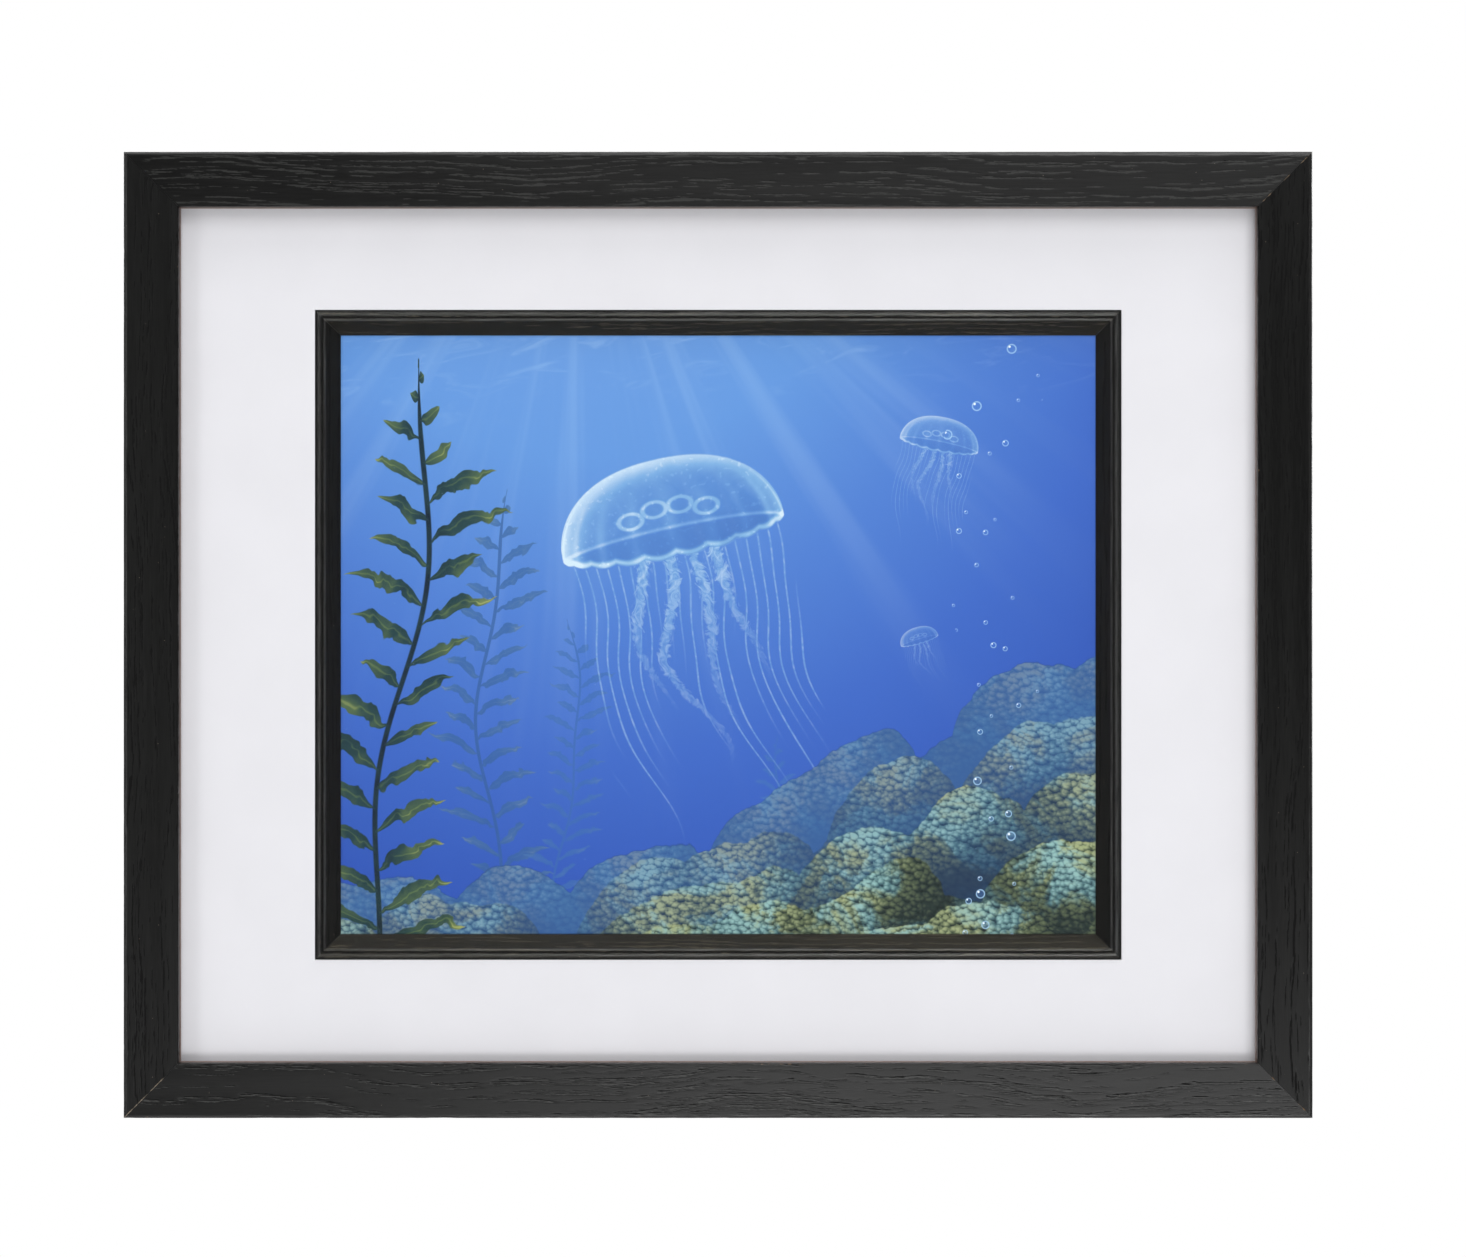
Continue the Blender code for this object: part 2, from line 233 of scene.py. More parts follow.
def pick_edges(piece: bpy.types.Object, test: Callable[[Vector, Vector], bool]) -> None:
    """Selects only the edges whose two ends pass the test.

    Args:
        piece: the object in edit mode.
        test: takes the places of an edge's two ends.
    """
    bpy.ops.mesh.select_mode(type="EDGE")
    bpy.ops.mesh.select_all(action="DESELECT")
    shape = bmesh.from_edit_mesh(piece.data)
    for edge in shape.edges:
        if test(edge.verts[0].co, edge.verts[1].co):
            edge.select_set(True)
    shape.select_flush_mode()
    bmesh.update_edit_mesh(piece.data)


def near(value: float, target: float, slack: float = HAIR) -> bool:
    """True if the two lengths are the same to within the slack."""
    return abs(value - target) < slack


def lies_along_x(start: Vector, end: Vector, least: float = MM) -> bool:
    """True for an edge that runs along X and is longer than the least."""
    run = end - start
    return abs(run.x) > least and math.hypot(run.y, run.z) < 0.05 * abs(run.x)


def add_block(name: str, low: Place, high: Place) -> bpy.types.Object:
    """A box between two corners, with its size in its mesh.

    Args:
        name: the new object's name.
        low: its lowest corner.
        high: its highest corner.

    Returns:
        The new object.
    """
    deselect()
    middle = [(a + b) / 2 for a, b in zip(low, high)]
    bpy.ops.mesh.primitive_cube_add(size=1, location=middle)
    piece = bpy.context.active_object
    piece.scale = [b - a for a, b in zip(low, high)]
    bpy.ops.object.transform_apply(location=True, rotation=True, scale=True)
    piece.name = piece.data.name = name
    return piece


def settle(piece: bpy.types.Object, place: Matrix) -> None:
    """Puts the piece where the matrix says and leaves its object at the origin, unturned.

    Args:
        piece: the object, which is still where it was modelled.
        place: where it goes and how it is turned.
    """
    take(piece)
    piece.matrix_world = place
    bpy.ops.object.transform_apply(location=True, rotation=True, scale=True)


def finish_surface(piece: bpy.types.Object, angle_deg: float = 35) -> None:
    """Points the faces outward and shades them smooth, apart from sharp edges.

    Args:
        piece: the finished shape.
        angle_deg: edges sharper than this stay sharp.
    """
    with editing(piece):
        bpy.ops.mesh.select_all(action="SELECT")
        bpy.ops.mesh.normals_make_consistent(inside=False)
    bpy.ops.object.shade_smooth_by_angle(angle=math.radians(angle_deg))


def cut_across(piece: bpy.types.Object, place: Place, normal: Place, clear: bool = False) -> None:
    """Cuts the whole mesh on a plane, in edit mode.

    Args:
        piece: the object in edit mode; not used.
        place: a point of the plane.
        normal: the plane's normal.
        clear: removes what lies on the normal's side, and fills the cut.
    """
    bpy.ops.mesh.select_all(action="SELECT")
    bpy.ops.mesh.bisect(
        plane_co=place, plane_no=normal, clear_outer=clear, use_fill=clear, threshold=0.0001 * MM
    )


def soften(piece: bpy.types.Object, offset: float, segments: int = 2, angle_deg: float = 30) -> None:
    """Rounds the piece's sharp edges with an applied Bevel modifier.

    Args:
        piece: the object whose edges are rounded.
        offset: how far from the edge the rounding starts.
        segments: how many faces go round it.
        angle_deg: only edges sharper than this are rounded.
    """
    take(piece)
    step = piece.modifiers.new("eased", "BEVEL")
    step.width = offset
    step.segments = segments
    step.limit_method = "ANGLE"
    step.angle_limit = math.radians(angle_deg)
    step.use_clamp_overlap = True
    bpy.ops.object.modifier_apply(modifier=step.name)


def copy_of_node(node: str, name: str) -> bpy.types.Object:
    """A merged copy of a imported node's mesh, as a new object with clean flat faces.

    Args:
        node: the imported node's name.
        name: the new object's name.

    Returns:
        The new object.
    """
    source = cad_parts[node]
    piece = bpy.data.objects.new(name, source.data.copy())
    bpy.context.scene.collection.objects.link(piece)
    piece.data.name = name
    piece.data.materials.clear()
    with editing(piece):
        bpy.ops.mesh.select_all(action="SELECT")
        bpy.ops.mesh.remove_doubles(threshold=0.001 * MM)
        bpy.ops.mesh.dissolve_limited(angle_limit=math.radians(1))
    if piece.data.has_custom_normals:
        bpy.ops.mesh.customdata_custom_splitnormals_clear()
    return piece


def store(piece: bpy.types.Object, name: str, values: np.ndarray) -> None:
    """Keeps one number or one vector for each vertex as a named attribute.

    Args:
        piece: the object whose mesh gets the attribute.
        name: the attribute's name.
        values: one number or one row of three for each vertex.
    """
    kind = "FLOAT_VECTOR" if values.ndim == 2 else "FLOAT"
    layer = piece.data.attributes.new(name, kind, "POINT")
    layer.data.foreach_set("vector" if values.ndim == 2 else "value", values.astype(np.float32).ravel())


def points_and_normals(piece: bpy.types.Object) -> list[np.ndarray]:
    """Reads where the mesh's vertices are, and which way its surface points there.

    Args:
        piece: the object to read.

    Returns:
        The places and the normals, with one row of three for each vertex.
    """
    read = []
    for key in ("co", "normal"):
        flat = np.empty(len(piece.data.vertices) * 3, np.float32)
        piece.data.vertices.foreach_get(key, flat)
        read.append(flat.reshape(-1, 3).astype(float))
    return read


def move_points(piece: bpy.types.Object, points: np.ndarray) -> None:
    """Gives the mesh's vertices new places."""
    piece.data.vertices.foreach_set("co", points.astype(np.float32).ravel())
    piece.data.update()


# ---------------------------------------------------------------- shader tools


@dataclass(frozen=True)
class Term:
    """A node's output, with the arithmetic that adds Math nodes behind it."""

    desk: "Desk"
    socket: bpy.types.NodeSocket

    def __add__(self, other: "Term | float") -> "Term":
        """The sum."""
        return self.desk.maths("ADD", self, other)

    def __radd__(self, other: float) -> "Term":
        """The sum, from the right."""
        return self.desk.maths("ADD", other, self)

    def __sub__(self, other: "Term | float") -> "Term":
        """The difference."""
        return self.desk.maths("SUBTRACT", self, other)

    def __rsub__(self, other: float) -> "Term":
        """The difference, from the right."""
        return self.desk.maths("SUBTRACT", other, self)

    def __mul__(self, other: "Term | float") -> "Term":
        """The product."""
        return self.desk.maths("MULTIPLY", self, other)

    def __rmul__(self, other: float) -> "Term":
        """The product, from the right."""
        return self.desk.maths("MULTIPLY", other, self)

    def __truediv__(self, other: "Term | float") -> "Term":
        """The quotient."""
        return self.desk.maths("DIVIDE", self, other)

    def __abs__(self) -> "Term":
        """The size without its sign."""
        return self.desk.maths("ABSOLUTE", self)


class Desk:
    """Lays out nodes in one tree and gives back what they put out.

    Args:
        tree: the node tree of a material, a world or a group.
    """

    def __init__(self, tree: bpy.types.NodeTree) -> None:
        """Starts on a tree."""
        self.tree = tree

    def node(self, kind: str, **settings: object) -> bpy.types.Node:
        """Adds a node.

        Args:
            kind: the node's type.
            settings: its properties, by name.

        Returns:
            The new node.
        """
        made = self.tree.nodes.new(kind)
        for key, value in settings.items():
            setattr(made, key, value)
        return made

    def feed(self, socket: bpy.types.NodeSocket, value: object) -> None:
        """Links a Term into a socket, or sets a plain value on it.

        Args:
            socket: the input to fill.
            value: a Term, a number, a vector or a colour.
        """
        if isinstance(value, Term):
            self.tree.links.new(value.socket, socket)
        elif isinstance(value, tuple) and socket.type == "RGBA":
            socket.default_value = (*value[:3], 1)
        else:
            socket.default_value = value

    def maths(self, operation: str, *terms: object) -> Term:
        """Adds one Math node.

        Args:
            operation: what it does.
            terms: its Terms or numbers.

        Returns:
            The result.
        """
        made = self.node("ShaderNodeMath", operation=operation)
        for socket, term in zip(made.inputs, terms):
            self.feed(socket, term)
        return Term(self, made.outputs[0])

    def least(self, *terms: object) -> Term:
        """The smallest of two or more."""
        return reduce(partial(self.maths, "MINIMUM"), terms)

    def most(self, *terms: object) -> Term:
        """The largest of two or more."""
        return reduce(partial(self.maths, "MAXIMUM"), terms)

    def step(self, value: object, low: float, high: float, start: float = 0, end: float = 1) -> Term:
        """Rises smoothly from start to end as the value goes from low to high.

        Args:
            value: what is measured.
            low: where the rise begins.
            high: where it ends.
            start: the result at the low end.
            end: the result at the high end.

        Returns:
            The result, which stays level outside low and high.
        """
        made = self.node("ShaderNodeMapRange", interpolation_type="SMOOTHSTEP")
        for socket, term in zip(made.inputs, (value, low, high, start, end)):
            self.feed(socket, term)
        return Term(self, made.outputs[0])

    def parts(self, vector: Term) -> tuple[Term, Term, Term]:
        """Takes a vector apart.

        Args:
            vector: the vector.

        Returns:
            Its X, Y and Z.
        """
        made = self.node("ShaderNodeSeparateXYZ")
        self.feed(made.inputs[0], vector)
        return tuple(Term(self, out) for out in made.outputs)

    def vector(self, x: object = 0.0, y: object = 0.0, z: object = 0.0) -> Term:
        """Puts a vector together.

        Args:
            x: its X.
            y: its Y.
            z: its Z.

        Returns:
            The vector.
        """
        made = self.node("ShaderNodeCombineXYZ")
        for socket, term in zip(made.inputs, (x, y, z)):
            self.feed(socket, term)
        return Term(self, made.outputs[0])

    def stretched(self, vector: Term, scale: Place, turn: Place = (0, 0, 0)) -> Term:
        """Scales a vector on each axis, and turns it.

        Args:
            vector: the vector.
            scale: the factor for each axis.
            turn: the turn about each axis.

        Returns:
            The changed vector.
        """
        made = self.node("ShaderNodeMapping")
        made.inputs["Scale"].default_value = scale
        made.inputs["Rotation"].default_value = turn
        self.feed(made.inputs["Vector"], vector)
        return Term(self, made.outputs[0])

    def noise(self, vector: Term, scale: object, detail: float = 3, rough: float = 0.5,
              warp: float = 0, flat: bool = False) -> Term:
        """Adds a noise from 0 to 1.

        Args:
            vector: where it is read.
            scale: how fine it is.
            detail: how many finer layers it has.
            rough: how strong they are.
            warp: how much it is distorted.
            flat: whether it is read in the plane only.

        Returns:
            The noise.
        """
        made = self.node("ShaderNodeTexNoise", noise_dimensions="2D" if flat else "3D")
        self.feed(made.inputs["Vector"], vector)
        self.feed(made.inputs["Scale"], scale)
        made.inputs["Detail"].default_value = detail
        made.inputs["Roughness"].default_value = rough
        made.inputs["Distortion"].default_value = warp
        return Term(self, made.outputs["Fac"])

    def cells(self, vector: Term, scale: object, flat: bool = False) -> bpy.types.Node:
        """Adds a Voronoi node.

        Args:
            vector: where it is read.
            scale: how small the cells are.
            flat: whether it is read in the plane only.

        Returns:
            The node, with outputs Distance, Color and Position.
        """
        made = self.node("ShaderNodeTexVoronoi", voronoi_dimensions="2D" if flat else "3D")
        self.feed(made.inputs["Vector"], vector)
        self.feed(made.inputs["Scale"], scale)
        return made

    def mix(self, share: object, first: object, second: object) -> Term:
        """Mixes two colours.

        Args:
            share: how much of the second there is.
            first: the first colour.
            second: the second colour.

        Returns:
            The colour.
        """
        made = self.node("ShaderNodeMix", data_type="RGBA")
        self.feed(made.inputs[0], share)
        self.feed(made.inputs[6], first)
        self.feed(made.inputs[7], second)
        return Term(self, made.outputs[2])

    def ramp(self, value: object, stops: Sequence[tuple[float, Colour]]) -> Term:
        """Reads a colour from a ramp.

        Args:
            value: where on the ramp it is read.
            stops: the places and colours of the ramp.

        Returns:
            The colour.
        """
        made = self.node("ShaderNodeValToRGB")
        while len(made.color_ramp.elements) < len(stops):
            made.color_ramp.elements.new(1)
        for element, (place, colour) in zip(made.color_ramp.elements, stops):
            element.position = place
            element.color = (*colour, 1)
        self.feed(made.inputs[0], value)
        return Term(self, made.outputs[0])

    def bump(self, height: Term, distance: float, strength: float) -> Term:
        """Makes a normal from a height.

        Args:
            height: the height, from 0 to 1.
            distance: how high 1 is.
            strength: how much of it counts.

        Returns:
            The normal.
        """
        made = self.node("ShaderNodeBump")
        made.inputs["Distance"].default_value = distance
        made.inputs["Strength"].default_value = strength
        self.feed(made.inputs["Height"], height)
        return Term(self, made.outputs[0])

    def group(self, tree: bpy.types.NodeTree, **values: object) -> dict[str, Term]:
        """Places a node group, with its inputs given by name.

        Args:
            tree: the group.
            values: what feeds each input, under the input's name in lower case.

        Returns:
            Its outputs by name, in lower case.
        """
        made = self.node("ShaderNodeGroup", node_tree=tree)
        for socket in made.inputs:
            key = socket.name.lower().replace(" ", "_")
            if key in values:
                self.feed(socket, values[key])
        return {out.name.lower(): Term(self, out) for out in made.outputs}

    def sine(self, value: object) -> Term:
        """The sine, of radians."""
        return self.maths("SINE", value)

    def length(self, x: object, y: object) -> Term:
        """Measures how far a point of the plane is from the origin.

        Args:
            x: its first coordinate.
            y: its second coordinate.

        Returns:
            The distance.
        """
        made = self.node("ShaderNodeVectorMath", operation="LENGTH")
        self.feed(made.inputs[0], self.vector(x, y))
        return Term(self, made.outputs["Value"])

    def place(self) -> Term:
        """The point's place on the object."""
        return Term(self, self.node("ShaderNodeTexCoord").outputs["Object"])

    def attribute(self, name: str, vector: bool = False) -> Term:
        """An attribute of the mesh."""
        made = self.node("ShaderNodeAttribute", attribute_name=name)
        return Term(self, made.outputs["Vector" if vector else "Fac"])


SOCKETS = {"value": "NodeSocketFloat", "vector": "NodeSocketVector", "colour": "NodeSocketColor"}
Terms = dict[str, Term]


def node_group(
    name: str,
    inputs: dict[str, tuple[str, object]],
    outputs: dict[str, str],
    draw: Callable[[Desk, Terms], Terms],
) -> bpy.types.NodeTree:
    """A shader node group, made once.

    Args:
        name: the group's name.
        inputs: each input's name, with its kind and its default.
        outputs: each output's name, with its kind.
        draw: lays out the nodes from the inputs, by lower-case name, and returns the outputs the same way.

    Returns:
        The group's tree.
    """
    found = bpy.data.node_groups.get(name)
    if found:
        return found
    tree = bpy.data.node_groups.new(name, "ShaderNodeTree")
    for label, (kind, default) in inputs.items():
        socket = tree.interface.new_socket(label, in_out="INPUT", socket_type=SOCKETS[kind])
        if default is not None:
            socket.default_value = (*default, 1) if kind == "colour" else default
    for label, kind in outputs.items():
        tree.interface.new_socket(label, in_out="OUTPUT", socket_type=SOCKETS[kind])
    desk = Desk(tree)
    entry = desk.node("NodeGroupInput")
    leave = desk.node("NodeGroupOutput")
    given = {
        out.name.lower().replace(" ", "_"): Term(desk, out) for out in entry.outputs if out.name
    }
    made = draw(desk, given)
    for socket in leave.inputs:
        if socket.name:
            desk.feed(socket, made[socket.name.lower()])
    return tree


def fibre_group() -> bpy.types.NodeTree:
    """Fine wood fibre that runs along the vector's X: its tone and its height.

    Returns:
        The group.
    """

    def draw(desk: Desk, given: Terms) -> Terms:
        """Long thin noise, over broader bands.

        Args:
            desk: the group's desk.
            given: Vector and Scale, by lower-case name.

        Returns:
            The outputs by name.
        """
        fine = desk.noise(desk.stretched(given["vector"], (90, 2600, 2600)), given["scale"], 4, 0.65)
        bands = desk.noise(desk.stretched(given["vector"], (8, 260, 260)), given["scale"], 2, 0.5, 0.4)
        return {"tone": desk.most(0, fine * 0.6 + bands * 0.4), "height": fine}

    return node_group(
        "wood_fibre",
        {"Vector": ("vector", None), "Scale": ("value", 1.0)},
        {"Tone": "value", "Height": "value"},
        draw,
    )


def specks_group() -> bpy.types.NodeTree:
    """Sparse round specks, such as dust or bare spots.

    Returns:
        The group.
    """

    def draw(desk: Desk, given: Terms) -> Terms:
        """Some cells of a Voronoi pattern hold a dot of their own size.

        Args:
            desk: the group's desk.
            given: Vector, Scale, Share and Size, by lower-case name.

        Returns:
            The outputs by name.
        """
        cells = desk.cells(given["vector"], given["scale"])
        chance, size, _ = desk.parts(Term(desk, cells.outputs["Color"]))
        chosen = desk.maths("LESS_THAN", chance, given["share"])
        reach = given["size"] * (0.35 + size * 0.65)
        dot = desk.step(Term(desk, cells.outputs["Distance"]) / reach, 0.7, 1.0, 1, 0)
        return {"mask": dot * chosen}

    return node_group(
        "specks",
        {
            "Vector": ("vector", None),
            "Scale": ("value", 400.0),
            "Share": ("value", 0.02),
            "Size": ("value", 0.1),
        },
        {"Mask": "value"},
        draw,
    )


def wear_group() -> bpy.types.NodeTree:
    """Broken wear along edges, from a mask that is 1 on the edge.

    Returns:
        The group.
    """

    def draw(desk: Desk, given: Terms) -> Terms:
        """Noise eats into the edge, less with distance from it.

        Args:
            desk: the group's desk.
            given: Vector, Edge, Scale and Amount, by lower-case name.

        Returns:
            The outputs by name.
        """
        patches = desk.noise(given["vector"], given["scale"], 4, 0.7)
        return {"mask": desk.step(given["edge"] * given["amount"] + patches, 1.0, 1.12)}

    return node_group(
        "edge_wear",
        {
            "Vector": ("vector", None),
            "Edge": ("value", 0.0),
            "Scale": ("value", 300.0),
            "Amount": ("value", 0.5),
        },
        {"Mask": "value"},
        draw,
    )


def paper_group() -> bpy.types.NodeTree:
    """The felt of paper or board: its tone and its height.

    Returns:
        The group.
    """

    def draw(desk: Desk, given: Terms) -> Terms:
        """Short crossing fibres over soft clouds.

        Args:
            desk: the group's desk.
            given: Vector and Scale, by lower-case name.

        Returns:
            The outputs by name.
        """
        one = desk.noise(desk.stretched(given["vector"], (1, 1, 3.4), (0, 0.6, 0)), given["scale"], 3, 0.6)
        two = desk.noise(desk.stretched(given["vector"], (3.1, 1, 1), (0, -0.5, 0)), given["scale"], 3, 0.6)
        clouds = desk.noise(given["vector"], given["scale"] * 0.02, 3, 0.5)
        felt = desk.most(one, two)
        return {"tone": felt * 0.5 + clouds * 0.5, "height": felt}

    return node_group(
        "paper_felt",
        {"Vector": ("vector", None), "Scale": ("value", 1500.0)},
        {"Tone": "value", "Height": "value"},
        draw,
    )


def linear(red: int, green: int, blue: int) -> Colour:
    """A display colour of 0 to 255 as linear light."""
    shares = (channel / 255 for channel in (red, green, blue))
    return tuple(s / 12.92 if s <= 0.04045 else ((s + 0.055) / 1.055) ** 2.4 for s in shares)


WATER_STOPS = [
    (0.10, linear(108, 157, 224)),
    (0.27, linear(99, 150, 219)),
    (0.42, linear(79, 125, 206)),
    (0.56, linear(61, 102, 193)),
    (0.76, linear(38, 74, 170)),
    (1.00, linear(24, 54, 140)),
]
JELLY_STOPS = [
    (0.0, linear(50, 92, 164)),
    (0.35, linear(82, 132, 198)),
    (0.65, linear(134, 182, 224)),
    (1.0, linear(214, 234, 247)),
]
OLIVE_STOPS = [
    (0.0, linear(6, 14, 20)),
    (0.3, linear(34, 48, 44)),
    (0.6, linear(88, 100, 74)),
    (1.0, linear(160, 170, 126)),
]
TEAL_STOPS = [
    (0.0, linear(8, 20, 34)),
    (0.3, linear(30, 58, 72)),
    (0.6, linear(76, 112, 118)),
    (1.0, linear(146, 186, 184)),
]
KELP_STOPS = [
    (0.0, linear(10, 26, 34)),
    (0.4, linear(34, 62, 58)),
    (0.7, linear(86, 108, 66)),
    (1.0, linear(160, 168, 96)),
]
BUBBLE_STOPS = [(0.0, linear(90, 140, 214)), (0.5, linear(160, 204, 240)), (1.0, linear(244, 250, 255))]
LEAF_STEP = 13  # millimetres of print between two leaves of the near kelp
NEAR_KELP_LEFT = 101  # millimetres of print from the middle to the near kelp
BUBBLES_RIGHT = 88  # millimetres of print from the middle to the rising bubbles


class Arm(NamedTuple):
    """One frilled arm of a jellyfish. The unit is half of its bell's width.

    Args:
        start: where it leaves the bell, right of the middle.
        sway: how far it swings sideways.
        phase: where in its swing it starts.
        reach: how long it is.
    """

    start: float
    sway: float
    phase: float
    reach: float


class BoulderRow(NamedTuple):
    """One row of boulders. Lengths are millimetres of print.

    Args:
        foot: height of the row at its left end, from the middle of the print.
        climb: how much higher its right end is.
        width: mean width of a boulder.
        tall: height of a boulder.
        distance: how much haze hides it, up to 1.
    """

    foot: float
    climb: float
    width: float
    tall: float
    distance: float


class KelpStalk(NamedTuple):
    """One stalk of kelp in the haze.

    Args:
        start: millimetres of print right of the middle.
        size: its size beside the near kelp's.
        phase: where in its sway it starts.
        top: its height, before it is made smaller.
        haze: how much haze hides it, up to 1.
    """

    start: float
    size: float
    phase: float
    top: float
    haze: float


class Jellyfish(NamedTuple):
    """One jellyfish, and the part of the print that is its own. Lengths are millimetres of print.

    Args:
        right_of: its part of the print lies right of this.
        above: and above this.
        across: middle of its bell, right of the print's middle.
        up: foot of its bell, above the print's middle.
        size: half of its bell's width.
        lean: how much it leans.
        cover: how much it hides, up to 1.
    """

    right_of: float
    above: float
    across: float
    up: float
    size: float
    lean: float
    cover: float


ARMS = (
    Arm(-0.30, 0.10, 0.4, 1.5),
    Arm(-0.09, 0.14, 1.9, 2.1),
    Arm(0.12, 0.12, 3.4, 1.8),
    Arm(0.33, 0.10, 5.0, 1.4),
)
BOULDER_ROWS = (
    BoulderRow(-96, 74, 34, 26, 0.72),
    BoulderRow(-104, 62, 30, 25, 0.42),
    BoulderRow(-112, 50, 36, 27, 0.16),
    BoulderRow(-122, 38, 42, 29, 0.0),
    BoulderRow(-134, 30, 48, 32, 0.0),
)
FAR_KELP = (
    KelpStalk(-70, 0.62, 2.2, 236.0, 0.55),
    KelpStalk(-48, 0.42, 4.1, 250.0, 0.75),
    KelpStalk(22, 0.36, 0.9, 190.0, 0.85),
)
NEAR_JELLYFISH = Jellyfish(-200, -200, -14.0, 30.0, 37.0, 0.22, 1.0)
FAR_JELLYFISH = (
    Jellyfish(46, -200, 64.0, -2.0, 6.5, 0.3, 0.42),
    Jellyfish(46, 14, 70.0, 60.0, 13.0, -0.2, 0.6),
)


def water_group() -> bpy.types.NodeTree:
    """Blue water lit from above, with soft shafts of light and faint ripples near the surface.

    Returns:
        The group.
    """

    def draw(desk: Desk, given: Terms) -> Terms:
        """Rings of colour round the sun's place, beams that fan out from it, and ripples.

        Args:
            desk: the group's desk.
            given: Across and Up, by lower-case name.

        Returns:
            The outputs by name.
        """
        across, up = given["across"], given["up"]
        reach = desk.length(across + 45, up - 145)
        water = desk.ramp(reach / 330, WATER_STOPS)
        turn = desk.maths("ARCTAN2", across + 45, 165 - up)
        beams = desk.noise(desk.vector(turn * 9, reach * 0.003), 1.0, 3, 0.6, flat=True)
        lit = desk.step(beams, 0.46, 0.78) * desk.step(reach, 230, 50, 0, 0.17)
        waves = desk.vector(across * 0.045, up * 0.2 - across * 0.03)
        ripples = desk.noise(waves, 1.0, 4, 0.62, 0.9, flat=True)
        glints = desk.step(ripples, 0.5, 0.85) * desk.step(up - across * 0.08, 62, 100, 0, 0.3)
        return {"colour": desk.mix(desk.most(lit, glints), water, linear(176, 212, 247))}

    return node_group(
        "water", {"Across": ("value", 0.0), "Up": ("value", 0.0)}, {"Colour": "colour"}, draw
    )


def jellyfish_group() -> bpy.types.NodeTree:
    """A jellyfish that hangs from the origin, its bell two units wide: its colour and its cover.

    Returns:
        The group.
    """

    def draw(desk: Desk, given: Terms) -> Terms:
        """A ribbed bell with a scalloped margin, frilled arms and long thin tentacles.

        Args:
            desk: the group's desk.
            given: Across and Up, by lower-case name.

        Returns:
            The outputs by name.
        """
        across, up = given["across"], given["up"]
        aside = desk.least(abs(across), 0.999)
        fall = 1 - desk.maths("POWER", aside, 2.3)
        crown = desk.maths("POWER", fall, 0.46) * 0.74
        lobes = abs(desk.sine(desk.maths("ARCSINE", desk.least(across, 0.999)) * 11))
        round_off = desk.maths("SQRT", 1 - aside * aside)
        margin = round_off * -0.15 - lobes * round_off * 0.035 + 0.02
        inside = desk.step(crown - up, 0, 0.02) * desk.step(up - margin, 0, 0.02) * desk.step(
            abs(across), 1.0, 0.985
        )
        high = desk.most(up, 0)
        shell = desk.maths("POWER", aside, 2.3) + desk.maths("POWER", high / 0.74, 2.3)
        rim = desk.maths("POWER", desk.step(shell, 0.2, 1.0), 2)
        spread = desk.maths("SQRT", desk.most(1 - high * high * 1.7, 0.05))
        around = desk.maths("ARCSINE", desk.most(desk.least(across / spread, 0.999), -0.999))
        ribs = desk.maths("POWER", abs(desk.maths("COSINE", around * 9)), 6) * desk.step(high, 0.62, 0.1)
        hem = desk.step(abs(up - margin - 0.035), 0.05, 0.0) * 0.5
        far_hem = desk.step(abs(up - round_off * 0.12), 0.03, 0.0) * 0.3
        under = desk.step(up, round_off * 0.12, round_off * 0.12 - 0.02)
        rings = desk.most(*(
            desk.step(abs(desk.length((abs(across) - place) * 1.1, (up - level) * 1.7) - 0.115), 0.04, 0.01)
            for place, level in ((0.34, 0.24), (0.115, 0.30))
        ))
        cloud = desk.noise(desk.vector(across * 5, up * 5), 1.0, 4, 0.6, 0.6, flat=True)
        grains = desk.noise(desk.vector(across * 22, up * 22), 1.0, 1, 0.5, flat=True)
        freckles = desk.step(grains, 0.66, 0.74)
        light = 0.2 + (up - across * 0.5) * 0.28 + rim * 0.42 + ribs * 0.16 + rings * 0.3 + cloud * 0.2
        light = light + hem + far_hem + freckles * 0.12 - under * 0.12
        solid = inside * desk.least(0.5 + rim * 0.4 + hem + rings * 0.3 + ribs * 0.1, 0.97)

        curl = across + desk.sine(up * 3.1 + 0.7) * up * 0.07
        frill = desk.noise(desk.vector(curl * 11, up * 8), 1.0, 3, 0.65, 1.6, flat=True)
        arms = 0.0
        for start, sway, phase, reach in ARMS:
            middle = start - up * start * 0.35 + desk.sine(up * 3.3 + phase) * desk.least(up * -sway, sway)
            left = desk.most(1 + up / reach, 0)
            wide = desk.maths("SQRT", left) * (frill * 0.22 - 0.035)
            arms = desk.most(arms, desk.step(abs(curl - middle) / desk.most(wide, 0.006), 1.0, 0.45) * left)
        arms = arms * desk.step(up, 0.0, -0.12)

        swung = across + desk.sine(up * 2.3 + 1.0) * up * 0.09
        string = (swung + desk.sine(up * 7 + across * 6) * 0.012) * 10.5
        own = desk.node("ShaderNodeTexWhiteNoise", noise_dimensions="1D")
        desk.feed(own.inputs["W"], desk.maths("FLOOR", string))
        length = Term(desk, own.outputs["Value"]) * -1.9 - 1.0
        thread = desk.step(abs(desk.maths("FRACT", string) - 0.5), 0.13, 0.02)
        trailing = desk.step(up, length, length + 0.9) * desk.step(up, margin + 0.02, margin - 0.02)
        threads = thread * trailing * desk.step(aside, 0.99, 0.9) * 0.5
        hanging = desk.most(arms * (0.35 + frill), threads)
        light = light * inside + (1 - inside) * (0.35 + frill * 0.7)
        cover = desk.most(solid, hanging * 0.85)
        return {"colour": desk.ramp(light, JELLY_STOPS), "cover": desk.least(cover, 1)}

    return node_group(
        "jellyfish",
        {"Across": ("value", 0.0), "Up": ("value", 0.0)},
        {"Colour": "colour", "Cover": "value"},
        draw,
    )


